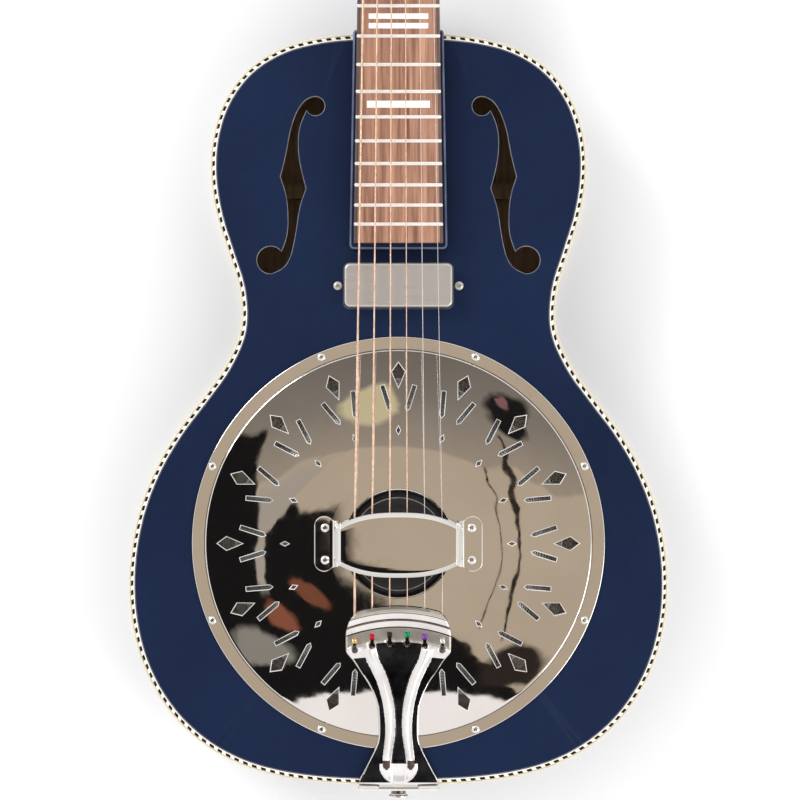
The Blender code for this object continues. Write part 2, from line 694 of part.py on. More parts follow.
def shaft_axis_y(post_y):
    return post_y - GEAR_CENTRE_DISTANCE


def build_tuner_plate(name, side):
    """Plate behind the headstock with two lugs for each worm shaft."""
    low = -HEAD_THICKNESS - GAP - TUNER_PLATE_THICKNESS
    high = -HEAD_THICKNESS - GAP
    near, far = sorted(side * x for x in TUNER_PLATE)
    first, last = post_places(side)[0][1], post_places(side)[-1][1]
    frame = headstock_frame()
    plate = solid(name, "satin_nickel",
                  box((near, far), (first - 14, last + 12), (low, high)), frame)
    lugs, bores = [], []
    for x, y in post_places(side):
        bores.append(cylinder(POST_HOLE, low - 1, high + 1, 10, (x, y)))
        axis_y = shaft_axis_y(y)
        for lug_x in (x - 7.2, x + 7.2):
            lugs.append(box((lug_x - 0.7, lug_x + 0.7), (axis_y - 2.8, axis_y + 2.8),
                            (gear_height() - 2.6, low + 0.5)))
        across = Matrix.Translation((x, axis_y, gear_height())) @ Matrix.Rotation(pi / 2, 4, "Y")
        bores.append(turned(cylinder(WORM_SHAFT_RADIUS + GAP, -9, 9, 8), across))
    combine(plate, tool(f"{name}_lugs", merged(lugs), frame), "UNION")
    combine(plate, tool(f"{name}_bores", merged(bores), frame), "DIFFERENCE")


def build_post(number, x, y):
    """String post with its gear; its origin is on the post's axis."""
    frame = headstock_frame() @ Matrix.Translation((x, y, gear_height()))
    half = GEAR_WIDTH / 2
    teeth = [(GEAR_TIP if i % 2 else GEAR_ROOT) for i in range(2 * GEAR_TEETH)]
    loop = [(r * cos(pi * i / GEAR_TEETH), r * sin(pi * i / GEAR_TEETH))
            for i, r in enumerate(teeth)]
    gear = skin([at_height(loop, -half), at_height(loop, half)])
    post = solid(f"tuner_post_{number}", "satin_nickel",
                 cylinder(POST_RADIUS, -half + 0.4, POST_TOP - gear_height(), 12), frame)
    combine(post, tool(f"gear_{number}", gear, frame), "UNION")


def build_button(number, side, x, y):
    """Worm shaft and button turned about an axis across the headstock, outwards from the lugs."""
    direction = Matrix.Rotation(side * pi / 2, 4, "Y")
    frame = headstock_frame() @ Matrix.Translation((x, shaft_axis_y(y), gear_height())) @ direction
    shaft, neck = WORM_SHAFT_RADIUS, 2.6
    reach = 18.5                       # post axis to the end of the button's collar
    # distance along the shaft, half width and half thickness of the section
    stations = ((-8.5, shaft, shaft), (reach - 3, shaft, shaft), (reach - 3, neck, neck),
                (reach, neck, neck), (reach + 1.5, 3.2, 5.5), (reach + 5, 3.8, 7.8),
                (reach + 10, 3.6, 7.4), (reach + 12.5, 2.2, 4.8))
    rings = [[(wide * cos(a), tall * sin(a), along) for a in np.arange(10) * pi / 5]
             for along, wide, tall in stations]
    solid(f"tuner_button_{number}", "satin_nickel", skin(rings), frame)


def build_tuners():
    for side, name in ((1, "tuner_plate_treble"), (-1, "tuner_plate_bass")):
        build_tuner_plate(name, side)
        for k, (x, y) in enumerate(post_places(side)):
            number = 1 + k if side > 0 else 6 - k
            build_post(number, x, y)
            build_button(number, side, x, y)


# ---------------------------------------------------------------- tailpiece

def crown_drop(x):
    """How far the crown's curved features lie behind their place on the centre line."""
    return CROWN_SAG * (x / 32) ** 2


def tailpiece_ring(y, heights, half, sag, thickness=1.2):
    """Section of the tailpiece: rib, trough and rolled-down edges, as a closed loop."""
    centre, rib, rib_inner, rib_outer, edge_drop = heights
    columns = ((0, 0), (rib_inner, 0), (rib_inner + 1.2, rib), (rib_outer - 1.2, rib),
               (rib_outer, -0.2), (half - 0.8, -edge_drop * 0.6), (half, -edge_drop))
    treble = [(x, TOP + centre + rise) for x, rise in columns]
    across = [(-x, z) for x, z in treble[:0:-1]] + treble
    upper = [(x, y - sag * crown_drop(x), z) for x, z in across]
    lower = [(x, point_y, z - thickness) for x, point_y, z in upper[::-1]]
    return upper + lower


def build_tailpiece():
    # y, (height, rib rise, rib inner, rib outer, edge drop), half width, share of the crown's sag
    stations = ((CROWN_FRONT, (15.6, 0, 12, 18, 0.8), 26.5, 1),
                (-42.0, (17.0, 0, 13, 21, 1.5), 29.5, 1),
                (-44.0, (16.0, 0, 14, 24, 1.8), 31.2, 1),
                (-47.0, (17.2, 0, 15, 26, 2.2), 32.6, 1),
                (-51.5, (17.0, 0, 15, 27, 2.4), 33.6, 1),
                (-54.0, (15.8, 0, 15, 27, 2.4), 33.7, 1),
                (-62.5, (15.8, 0, 15, 26, 2.4), 33.7, 0.9),
                (-67.0, (14.8, 1.4, 14.5, 21.5, 2.6), 32.4, 0.6),
                (-74.0, (13.2, 2.2, 11.6, 18.6, 2.6), 29, 0.25),
                (-81.0, (12.4, 2.4, 9.2, 15.7, 2.6), 25.6, 0),
                (-90.0, (11.6, 2.4, 6.4, 12.6, 2.6), 19, 0),
                (-101.0, (10.6, 2.4, 4.3, 10, 2.4), 14.4, 0),
                (-117.0, (8.6, 2.4, 4.1, 9.6, 2.2), 13, 0),
                (-128.0, (7.0, 2.2, 4.2, 9.7, 1.8), 13.6, 0),
                (-139.0, (5.2, 1.8, 4.5, 10, 1.2), 19, 0),
                (-148.0, (3.8, 0.4, 5, 10.5, 0.5), 23.2, 0),
                (-154.0, (2.9, 0, 6, 12, 0.1), BRACKET_HALF, 0))
    rings = [tailpiece_ring(*station) for station in stations]
    tongue_top = HINGE_Z + KNUCKLE_RADIUS - 0.15 - TOP
    for y in (-154.7, HINGE_Y + 0.1):
        rings.append(tailpiece_ring(y, (tongue_top, 0, 3, 6, 0), KNUCKLE_HALF - 0.2, 0))
    tailpiece = solid("tailpiece", "chrome", skin(rings))
    across = Matrix.Translation((0, HINGE_Y, HINGE_Z)) @ Matrix.Rotation(pi / 2, 4, "Y")
    knuckle = cylinder(KNUCKLE_RADIUS, -KNUCKLE_HALF, KNUCKLE_HALF, 12)
    combine(tailpiece, tool("tailpiece_knuckle", knuckle, across), "UNION")
    bore = turned(cylinder(PIN_RADIUS + GAP, -30, 30, 10), across)
    combine(tailpiece, tool("tailpiece_cuts", merged([bore] + keyholes())), "DIFFERENCE")


def keyholes():
    """Round hole that lets a ball end through, and the slot that the string slides up."""
    shapes = []
    for number in range(1, 7):
        x = string_x(number, SADDLE_SPACING)
        y = BALL_Y - KEYHOLE_STEP - crown_drop(x)
        slot = KEYHOLE_STEP + 1.2
        loop = arc((0, 0, 2.1), 120, 420, 7) + [(1.05, slot - 0.6), (0.5, slot), (-0.5, slot),
                                                (-1.05, slot - 0.6)]
        shapes.append(skin([at_height(shifted(loop, x, y), TOP + z) for z in (8, 20)]))
    return shapes


def build_tail_bracket():
    """Plate over the tail with two outer hinge knuckles and a hole for the end pin."""
    front, back = TAIL_Y - 0.5, TAIL_Y - 2.0
    plate = box((-BRACKET_HALF, BRACKET_HALF), (back, front), (28, HINGE_Z - KNUCKLE_RADIUS - GAP))
    bracket = solid("tail_bracket", "chrome", plate)
    knuckles, bores = [], []
    for side in (-1, 1):
        inner, outer = KNUCKLE_HALF + GAP, BRACKET_HALF
        across = Matrix.Translation((0, HINGE_Y, HINGE_Z)) @ Matrix.Rotation(side * pi / 2, 4, "Y")
        knuckles.append(turned(cylinder(KNUCKLE_RADIUS, inner, outer, 12), across))
        web_x = sorted((side * inner, side * outer))
        knuckles.append(box(web_x, (back + 0.02, front - 0.02), (HINGE_Z - 3.5, HINGE_Z - 1.3)))
        bores.append(turned(cylinder(PIN_RADIUS + GAP, inner - 2, outer + 2, 10), across))
    for shape in knuckles:
        combine(bracket, tool("bracket_knuckle", shape), "UNION")
    combine(bracket, tool("bracket_bores", merged(bores)), "DIFFERENCE")
    combine(bracket, jack_hole_tool("bracket_jack_hole", PIN_NECK, -1, 4), "DIFFERENCE")


def build_hinge_pin():
    across = Matrix.Translation((0, HINGE_Y, HINGE_Z)) @ Matrix.Rotation(pi / 2, 4, "Y")
    pin = cylinder(PIN_RADIUS, -BRACKET_HALF - 0.6, BRACKET_HALF + 0.6, 10)
    solid("tailpiece_hinge_pin", "chrome", pin, across)


def jack_frame():
    """Frame on the tail with its z axis pointing out of the body."""
    return Matrix.Translation((0, TAIL_Y, JACK_Z)) @ Matrix.Rotation(pi / 2, 4, "X")


def jack_hole_tool(name, radius, low, high):
    """Hole that a stretch of the end pin passes with its clearance."""
    return tool(name, cylinder(radius + GAP, low, high, 16), jack_frame())


def build_endpin_jack():
    """Strap button and barrel in one, bored for a 6.35 mm plug."""
    profile = ((JACK_BARREL, BARREL_START), (JACK_BARREL, BARREL_END), (PIN_NECK, BARREL_END),
               (PIN_NECK, FLANGE_START - 0.8), (PIN_FLANGE, FLANGE_START), (PIN_FLANGE, PIN_END),
               (JACK_SOCKET, PIN_END), (JACK_SOCKET, SOCKET_END))
    solid("endpin_jack", "chrome", lathe(profile, 16), jack_frame())


# ---------------------------------------------------------------- pickup

def pickup_frame():
    return Matrix.Translation((0, PICKUP_Y, 0))


def build_pickup():
    low, high, wall = PICKUP_BASE_Z + 2.2, PICKUP_TOP, 1.0
    outer = rounded_rectangle(PICKUP_HALF_X, PICKUP_HALF_Y, 3.5)
    inner = rounded_rectangle(PICKUP_HALF_X - wall, PICKUP_HALF_Y - wall, 2.5)
    crown = rounded_rectangle(PICKUP_HALF_X - 1.5, PICKUP_HALF_Y - 1.5, 2)
    rings = [at_height(inner, high - wall), at_height(inner, low), at_height(outer, low),
             at_height(outer, high - 1.5), at_height(crown, high)]
    solid("pickup_cover", "satin_nickel", skin(rings), pickup_frame())
    plate_top = PICKUP_BASE_Z + 1.5
    plate = rounded_rectangle(PICKUP_SCREW_X + 4, 12, 4)
    coil = rounded_rectangle(PICKUP_HALF_X - 3.5, 11, 4)
    rings = [at_height(plate, PICKUP_BASE_Z), at_height(plate, plate_top),
             at_height(coil, plate_top), at_height(coil, high - wall - 2)]
    base = solid("pickup_base", "black_plastic", skin(rings), pickup_frame())
    holes = [cylinder(SCREW_HOLE, PICKUP_BASE_Z - 2, plate_top + 2, 8, (side * PICKUP_SCREW_X, 0))
             for side in (-1, 1)]
    combine(base, tool("base_screw_holes", merged(holes), pickup_frame()), "DIFFERENCE")


def build_pickup_screws():
    """Height screws: the heads rest on the top and the shanks reach through the base's ears."""
    profile = ((SCREW_SHANK, 70), (SCREW_SHANK, TOP + GAP), (2.9, TOP + GAP), (2.9, TOP + 1),
               (1.8, TOP + 2))
    for name, (x, y) in zip(("bass", "treble"), pickup_screw_places()):
        place = Matrix.Translation((x, y, 0))
        solid(f"pickup_screw_{name}", "satin_nickel", lathe(profile, 10), place)


# ---------------------------------------------------------------- strings

def tail_route(x, radius):
    """From the ball end down through its slot and forward under the crown: points and radii."""
    drop = crown_drop(x)
    ball_y = BALL_Y - drop
    run = TOP + 12.4
    ball = 2.0 / radius
    front = CROWN_FRONT - drop
    return [((x, ball_y, TOP + 20.2), ball), ((x, ball_y, TOP + 16.2), ball),
            ((x, ball_y, TOP + 16.1), 1), ((x, ball_y, run + 0.8), 1),
            ((x, ball_y + 0.8, run), 1), ((x, front - 0.5, run), 1), ((x, front + 1, run + 0.2), 1)]


def neck_route(number, radius):
    """Over the saddle and the nut."""
    over_saddle = SADDLE_TOP + GAP + radius
    over_nut = FRET_TOP + 0.25 + GAP + radius
    start_x = string_x(number, SADDLE_SPACING)
    end_x = string_x(number, NUT_SPACING)
    return [((start_x, 0, over_saddle), 1), ((end_x, SCALE_LENGTH, over_nut), 1),
            ((end_x, NUT_BACK - 1.6, over_nut), 1)]


def post_route(number, radius):
    """To the inner side of the post and down round it, in the guitar's frame."""
    side = 1 if number <= 3 else -1
    x, y = post_places(side)[number - 1 if number <= 3 else 6 - number]
    frame = headstock_frame()
    nut_x = string_x(number, NUT_SPACING)
    circle_radius = POST_RADIUS + radius + 0.45
    # On the bass side the wrap runs anticlockwise; the treble side is its mirror image.
    dx, dy = side * (nut_x - x), y
    heading = atan2(dy, -dx) - asin(circle_radius / hypot(dx, dy))
    start = heading - pi / 2
    pitch = 2 * radius + 0.35
    points = []
    for step in range(int(WRAP_TURNS * WRAP_STEPS) + 1):
        angle = start + 2 * pi * step / WRAP_STEPS
        height = WRAP_HEIGHT - pitch * step / WRAP_STEPS
        place = Vector((x - side * circle_radius * cos(angle), y + circle_radius * sin(angle), height))
        points.append((frame @ place, 1))
    return points


def build_strings():
    for number, radius in enumerate(STRING_RADII, 1):
        x = string_x(number, SADDLE_SPACING)
        route = tail_route(x, radius) + neck_route(number, radius) + post_route(number, radius)
        curve = bpy.data.curves.new(f"string_{number}", "CURVE")
        curve.dimensions = "3D"
        curve.bevel_depth = radius * MM
        curve.bevel_resolution = 1
        curve.use_fill_caps = True
        spline = curve.splines.new("POLY")
        spline.points.add(len(route) - 1)
        for point, (place, swell) in zip(spline.points, route):
            point.co = (*(Vector(place) * MM), 1)
            point.radius = swell
        item = bpy.data.objects.new(f"string_{number}", curve)
        bpy.context.scene.collection.objects.link(item)
        paint(item, "bronze" if number > 2 else "steel")


# ---------------------------------------------------------------- the guitar

def build_guitar():
    clear_scene()
    outline = body_outline()
    build_soundboard(outline)
    build_back(outline)
    build_sides(outline)
    build_bindings(outline)
    build_linings(outline)
    build_blocks()
    build_sound_well()
    build_braces()
    build_cone()
    build_biscuit()
    build_saddle()
    build_biscuit_screw()
    build_coverplate()
    build_cover_screws()
    build_hand_rest()
    build_neck()
    build_truss_rod()
    build_fingerboard()
    build_nut()
    build_rod_cover()
    build_tuners()
    build_tailpiece()
    build_tail_bracket()
    build_hinge_pin()
    build_endpin_jack()
    build_pickup()
    build_pickup_screws()
    build_strings()


build_guitar()
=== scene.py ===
import json
from math import atan2, cos, hypot, pi, radians, sin

import bmesh
import bpy
import numpy as np
from mathutils import Matrix, Vector


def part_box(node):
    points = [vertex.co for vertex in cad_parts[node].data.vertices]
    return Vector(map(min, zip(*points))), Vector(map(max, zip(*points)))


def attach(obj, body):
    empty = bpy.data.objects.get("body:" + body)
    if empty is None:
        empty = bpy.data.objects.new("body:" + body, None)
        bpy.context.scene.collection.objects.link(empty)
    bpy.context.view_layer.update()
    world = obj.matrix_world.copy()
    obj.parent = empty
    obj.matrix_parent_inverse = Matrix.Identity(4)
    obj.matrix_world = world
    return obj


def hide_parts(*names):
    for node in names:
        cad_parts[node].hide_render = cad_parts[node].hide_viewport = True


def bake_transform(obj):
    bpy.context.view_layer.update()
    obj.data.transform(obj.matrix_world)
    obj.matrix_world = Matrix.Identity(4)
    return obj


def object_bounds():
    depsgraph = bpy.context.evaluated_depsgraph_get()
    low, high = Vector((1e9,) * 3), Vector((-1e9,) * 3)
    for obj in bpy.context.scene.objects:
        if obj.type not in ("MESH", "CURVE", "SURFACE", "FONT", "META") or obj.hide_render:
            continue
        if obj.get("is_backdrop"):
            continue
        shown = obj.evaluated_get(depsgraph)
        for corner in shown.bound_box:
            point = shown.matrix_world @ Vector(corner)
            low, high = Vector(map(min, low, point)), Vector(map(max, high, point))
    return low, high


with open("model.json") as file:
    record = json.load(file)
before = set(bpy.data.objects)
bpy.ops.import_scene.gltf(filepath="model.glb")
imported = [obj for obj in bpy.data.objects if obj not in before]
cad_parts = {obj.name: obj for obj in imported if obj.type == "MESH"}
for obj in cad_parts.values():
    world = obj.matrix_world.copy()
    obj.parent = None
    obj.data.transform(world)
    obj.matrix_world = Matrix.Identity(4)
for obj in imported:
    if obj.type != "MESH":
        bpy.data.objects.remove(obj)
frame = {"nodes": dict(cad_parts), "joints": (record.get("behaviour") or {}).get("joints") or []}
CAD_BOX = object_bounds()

MM = 0.001
ROOT = "instrument"
SEAM = 0.05                    # gap left between pieces that meet


def around(axis, angle):
    return Matrix.Rotation(angle, 4, axis)


def placed(spot, axis, angle):
    """Frame at a spot, turned about one axis."""
    return Matrix.Translation(spot) @ around(axis, angle)


def added(name, data):
    """New object in the scene."""
    item = bpy.data.objects.new(name, data)
    bpy.context.scene.collection.objects.link(item)
    return item


# ---------------------------------------------------------------- what the frame says

def corners(node):
    """Lowest and highest corner of a node's box, in millimetres."""
    low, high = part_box(node)
    return low / MM, high / MM


def centre_of(node):
    low, high = corners(node)
    return (low + high) / 2


def half_size_of(node):
    low, high = corners(node)
    return (high - low) / 2


def joint_place(name):
    joint = next(j for j in frame["joints"] if j["name"] == name)
    return Vector(joint["pos_m"]) / MM, Vector(joint["axis"])


def rims(node, height):
    """Closed loops of (x, y) points round a node's flat upward or downward face, longest first."""
    mesh = frame["nodes"][node].data
    points = [tuple(round(c / MM, 3) for c in vertex.co) for vertex in mesh.vertices]
    sides, places = set(), []
    for face in mesh.polygons:
        spots = [points[index] for index in face.vertices]
        if all(abs(spot[2] - height) < 0.02 for spot in spots):
            sides.update(zip(spots, spots[1:] + spots[:1]))
    following = {a: b for a, b in sides if (b, a) not in sides}
    while following:
        start = next(iter(sorted(following)))
        loop = [start]
        while loop[-1] in following:
            loop.append(following.pop(loop[-1]))
        places.append([(x, y) for x, y, _ in loop[:-1]])
    return sorted(places, key=lambda loop: -sum(np.linalg.norm(np.diff(loop, axis=0), axis=1)))


BACK_TOP = corners("back_plate")[1].z
TOP_LOW, TOP = corners("soundboard")[0].z, corners("soundboard")[1].z
BINDING_HEIGHT = corners("back_binding")[1].z
TAIL_Y = corners("sides")[0].y
SHOULDER_Y = corners("sides")[1].y
EDGE_TO_PLATE = corners("back_plate")[0].x - corners("sides")[0].x
SIDE_THICKNESS = 2.5
JACK_BORE = 5.0                # radius of the hole that the end pin goes through
JACK_FRAME = placed((0, TAIL_Y, centre_of("endpin_jack").z), "X", pi / 2)
PLATE_RADIUS, COVER_LOW = corners("coverplate")[1].x, corners("coverplate")[0].z
DOME_TOP = corners("coverplate")[1].z
BOARD_LOW, FRET_TOP = corners("fingerboard")[0].z, corners("fingerboard")[1].z
BOARD_TOP = FRET_TOP - 1
BOARD_END, SCALE_LENGTH = corners("fingerboard")[0].y, corners("fingerboard")[1].y
NUT_BACK = corners("nut")[1].y
BOARD_HALF_AT_NUT, BOARD_HALF_AT_END = corners("nut")[1].x, corners("fingerboard")[1].x
SADDLE_TOP = corners("saddle")[1].z
HEAD_NORMAL = joint_place("tuner_1_post")[1]
HEAD_TILT = atan2(HEAD_NORMAL.y, HEAD_NORMAL.z)
HEAD_FRAME = placed((0, NUT_BACK + 0.3, BOARD_LOW - 0.3), "X", -HEAD_TILT)
HEAD_THICKNESS = 15.0
PICKUP_Y = centre_of("pickup_cover").y
STRING_RADII = (0.17, 0.22, 0.33, 0.45, 0.57, 0.71)    # string 1 (treble) to string 6 (bass)
SADDLE_SPACING, NUT_SPACING = 11.2, 7.06


def string_x(number, spacing):
    return (3.5 - number) * spacing


# ---------------------------------------------------------------- shapes

class Shape:
    """Points in millimetres, faces, and for each face the number of its material."""

    def __init__(self, points, faces, paints=None):
        self.points = np.array(points, dtype=float).reshape(-1, 3)
        self.faces = [tuple(face) for face in faces]
        self.paints = list(paints) if paints is not None else [0] * len(self.faces)

    def __add__(self, other):
        start = len(self.points)
        faces = self.faces + [tuple(index + start for index in face) for face in other.faces]
        return Shape(np.vstack((self.points, other.points)), faces, self.paints + other.paints)

    def painted(self, number):
        return Shape(self.points, self.faces, [number] * len(self.faces))

    def moved(self, matrix):
        if not isinstance(matrix, Matrix):
            matrix = Matrix.Translation(matrix)
        turn = np.array(matrix)
        return Shape(self.points @ turn[:3, :3].T + turn[:3, 3], self.faces, self.paints)

    def mesh(self, name):
        mesh = bpy.data.meshes.new(name)
        mesh.from_pydata((self.points * MM).tolist(), [], self.faces)
        mesh.polygons.foreach_set("material_index", self.paints)
        shape = bmesh.new()
        shape.from_mesh(mesh)
        bmesh.ops.recalc_face_normals(shape, faces=shape.faces[:])
        shape.to_mesh(mesh)
        shape.free()
        return mesh


def together(shapes):
    shapes = list(shapes)
    whole = shapes[0]
    for shape in shapes[1:]:
        whole = whole + shape
    return whole


def at(loop, z):
    """A flat loop as points at a height."""
    return [(x, y, z) for x, y in loop]


def polar(radii, angles):
    return np.column_stack((radii * np.cos(angles), radii * np.sin(angles)))


def full_turn(steps):
    return np.arange(steps) * 2 * pi / steps


def circle(radius, segments):
    return polar(radius, full_turn(segments))


def rounded(half_x, half_y, radius, steps=5):
    """Rectangle with round corners, as (x, y) points."""
    loop = []
    for corner, (sign_x, sign_y) in enumerate(((1, 1), (-1, 1), (-1, -1), (1, -1))):
        for step in range(steps + 1):
            angle = (corner + step / steps) * pi / 2
            loop.append((sign_x * (half_x - radius) + radius * cos(angle),
                         sign_y * (half_y - radius) + radius * sin(angle)))
    return np.array(loop)


def skin(rings, cyclic=False, paint=None):
    """Closed surface through rings of points; paint(ring, place) gives a face's material."""
    points = np.array(rings, dtype=float)
    count, size = points.shape[:2]
    faces, paints = [], []
    for i in range(count if cyclic else count - 1):
        j = (i + 1) % count
        for k in range(size):
            n = (k + 1) % size
            faces.append((i * size + k, i * size + n, j * size + n, j * size + k))
            paints.append(paint(i, k) if paint else 0)
    if not cyclic:
        faces += [range(size - 1, -1, -1), range((count - 1) * size, count * size)]
        paints += [0, 0]
    return Shape(points, faces, paints)


def lathe(profile, segments=48, cyclic=False, paint=None):
    """Turned about Z from (radius, height) points; cyclic makes a ring."""
    rings = [at(circle(radius, segments), z) for radius, z in profile]
    return skin(rings, cyclic, paint)


def rod(radius, low, high, segments):
    return lathe(((radius, low), (radius, high)), segments)


def block(x_range, y_range, z_range, ease=0.0):
    """Bar between two heights with eased upper and lower edges."""
    half_x, half_y = (x_range[1] - x_range[0]) / 2, (y_range[1] - y_range[0]) / 2
    middle = (x_range[0] + half_x, y_range[0] + half_y, 0)
    low, high = z_range
    levels = [(0, low), (0, high)]
    if ease:
        levels = [(ease, low), (0, low + ease), (0, high - ease), (ease, high)]
    rings = [at(rounded(half_x - d, half_y - d, max(ease - d, 0) + 0.01, 2), z) for d, z in levels]
    return skin(rings).moved(middle)


def offset(loop, distance):
    """The closed loop moved inwards, whichever way round it runs."""
    loop = np.array(loop, dtype=float)
    ahead = np.roll(loop, -1, axis=0) - np.roll(loop, 1, axis=0)
    length = np.linalg.norm(ahead, axis=1)
    inward = np.column_stack((-ahead[:, 1], ahead[:, 0])) / length[:, None]
    following = np.roll(loop, -1, axis=0)
    area = np.sum(loop[:, 0] * following[:, 1] - loop[:, 1] * following[:, 0])
    return loop + distance * np.sign(area) * inward


def mitred(loop, distance):
    """The closed loop of straight sides, every side moved inwards by the distance."""
    points = np.array(loop, dtype=float)
    following = np.roll(points, -1, axis=0)
    turn = np.sign(np.sum(points[:, 0] * following[:, 1] - points[:, 1] * following[:, 0]))
    along = following - points
    normal = turn * np.column_stack((-along[:, 1], along[:, 0])) / np.linalg.norm(along, axis=1)[:, None]
    moved = []
    for i in range(len(points)):
        sides = np.array((normal[i - 1], normal[i]))
        moved.append(np.linalg.solve(sides, sides @ points[i] + distance))
    return moved


def layered(loop, levels, inset=offset, **options):
    """Solid through the loop at (inset, height) levels."""
    return skin([at(inset(loop, depth), z) for depth, z in levels], **options)


def refined(loop, per_span, sharp=radians(33)):
    """The closed loop with per_span points to each span, curved except at its sharp corners."""
    knots = np.array(loop, dtype=float)
    count = len(knots)
    ahead = np.roll(knots, -1, axis=0) - knots
    length = np.linalg.norm(ahead, axis=1)
    ahead /= length[:, None]
    behind = np.roll(ahead, 1, axis=0)
    weight = length / (length + np.roll(length, 1))
    mean = behind * weight[:, None] + ahead * (1 - weight)[:, None]
    mean /= np.linalg.norm(mean, axis=1)[:, None]
    corner = np.sum(ahead * behind, axis=1) < cos(sharp)
    leaving = np.where(corner[:, None], ahead, mean)
    arriving = np.where(corner[:, None], behind, mean)
    curve = []
    for i in range(count):
        j = (i + 1) % count
        for t in np.arange(per_span) / per_span:
            curve.append((1 + 2 * t) * (1 - t) ** 2 * knots[i] + t * t * (3 - 2 * t) * knots[j]
                         + t * (1 - t) * length[i] * ((1 - t) * leaving[i] - t * arriving[j]))
    return np.array(curve)


def eased(table, steps):
    """Rows of a table of stations with smooth rows between them, steps to each span."""
    table = np.array(table, dtype=float)
    slopes, rises = np.gradient(table, axis=0), np.diff(table, axis=0)
    slopes[1:-1][rises[:-1] * rises[1:] < 0] = 0       # no overshoot at a peak
    rows = []
    for place in np.linspace(0, len(table) - 1, steps * (len(table) - 1) + 1):
        i = min(int(place), len(table) - 2)
        t = place - i
        rows.append((1 + 2 * t) * (1 - t) ** 2 * table[i] + t * t * (3 - 2 * t) * table[i + 1]
                    + t * (1 - t) * ((1 - t) * slopes[i] - t * slopes[i + 1]))
    return np.array(rows)


def filled(loops, z):
    """Flat face with holes."""
    shape = bmesh.new()
    edges = []
    for loop in loops:
        verts = [shape.verts.new((x, y, z)) for x, y in loop]
        edges += [shape.edges.new(pair) for pair in zip(verts, verts[1:] + verts[:1])]
    bmesh.ops.triangle_fill(shape, use_beauty=True, edges=edges)
    shape.verts.index_update()
    points = [vertex.co[:] for vertex in shape.verts]
    faces = [[vertex.index for vertex in face.verts] for face in shape.faces]
    shape.free()
    return Shape(points, faces)


def plate(loops, low, high, ease=0.3, wall=0, under=0):
    """Plate between two heights with its upper edges eased; every loop after the first is a hole."""
    inner = [offset(loop, -ease if index else ease) for index, loop in enumerate(loops)]
    whole = filled(inner, high) + filled(loops, low).painted(under)
    for loop, top in zip(loops, inner):
        walls = skin([at(loop, low), at(loop, high - ease), at(top, high)],
                     paint=lambda i, k: 0 if i else wall)
        keep = len(walls.faces) - 2          # without the two caps
        whole = whole + Shape(walls.points, walls.faces[:keep], walls.paints[:keep])
    return welded(whole)


def welded(shape):
    """The shape with its coinciding points joined."""
    keys, numbers, kept = {}, [], []
    for point in shape.points:
        key = tuple(np.round(point, 4))
        if key not in keys:
            keys[key] = len(kept)
            kept.append(point)
        numbers.append(keys[key])
    return Shape(kept, [[numbers[index] for index in face] for face in shape.faces], shape.paints)


PAINTS = 6                     # the most materials that one piece has


def carved(shape, other, operation="DIFFERENCE"):
    """The shape with another one cut out of it."""
    items = []
    for part in (shape, other):
        item = added("workpiece", part.mesh("workpiece"))
        for _ in range(PAINTS):
            item.data.materials.append(None)
        items.append(item)
    cut = items[0].modifiers.new("cut", "BOOLEAN")
    cut.operation, cut.object, cut.solver = operation, items[1], "EXACT"
    graph = bpy.context.evaluated_depsgraph_get()
    mesh = items[0].evaluated_get(graph).to_mesh()
    points = [vertex.co / MM for vertex in mesh.vertices]
    faces = [tuple(face.vertices) for face in mesh.polygons]
    result = Shape([point[:] for point in points], faces, [face.material_index for face in mesh.polygons])
    for item in items:
        bpy.data.objects.remove(item)
    return result


def joined(shape, other):
    return carved(shape, other, "UNION")


def bent(corner_points, radius, steps=5):
    """Path with its corners rounded."""
    points = [Vector(point) for point in corner_points]
    path = [points[0]]
    for before, corner, after in zip(points, points[1:], points[2:]):
        reach = min(radius, (corner - before).length / 2, (after - corner).length / 2)
        start = corner + (before - corner).normalized() * reach
        end = corner + (after - corner).normalized() * reach
        for t in np.linspace(0, 1, steps):
            path.append(start * (1 - t) ** 2 + corner * 2 * t * (1 - t) + end * t * t)
    return path + [points[-1]]


def tube(path, radius, sides=12):
    """Round wire along a path."""
    path = [Vector(point) for point in path]
    tangent = (path[1] - path[0]).normalized()
    across = tangent.orthogonal().normalized()
    rings = []
    for index, point in enumerate(path):
        ahead = path[min(index + 1, len(path) - 1)] - path[max(index - 1, 0)]
        turn = tangent.rotation_difference(ahead.normalized())
        tangent, across = ahead.normalized(), (turn @ across).normalized()
        up = tangent.cross(across)
        rings.append([point + radius * (across * cos(a) + up * sin(a)) for a in full_turn(sides)])
    return skin(rings)


def piece(name, shape, looks, slot, body=ROOT, nodes=(), sharp=35):
    """A shown piece of the guitar: it rides on a body and may stand for CAD nodes."""
    mesh = shape.mesh(name)
    mesh.shade_smooth()
    mesh.set_sharp_from_angle(angle=radians(sharp))
    for look in looks if isinstance(looks, (list, tuple)) else [looks]:
        mesh.materials.append(look)
    item = added(name, mesh)
    even = item.modifiers.new("flat_faces_stay_flat", "WEIGHTED_NORMAL")
    even.keep_sharp, even.weight = True, 80
    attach(item, body)
    if nodes:
        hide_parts(*nodes)
    return item


# ---------------------------------------------------------------- materials

def add_node(tree, kind, sockets, **settings):
    node = tree.nodes.new("ShaderNode" + kind)
    for name, value in settings.items():
        setattr(node, name, value)
    for name, value in sockets.items():
        if isinstance(value, bpy.types.NodeSocket):
            tree.links.new(value, node.inputs[name])
        else:
            node.inputs[name].default_value = value
    return node


def ramp(tree, factor, stops):
    """Colour ramp through (place, colour) stops."""
    node = add_node(tree, "ValToRGB", {"Fac": factor})
    elements = node.color_ramp.elements
    while len(elements) < len(stops):
        elements.new(0.5)
    for element, (place, colour) in zip(elements, stops):
        element.position, element.color = place, (*colour, 1.0)
    return node.outputs["Color"]


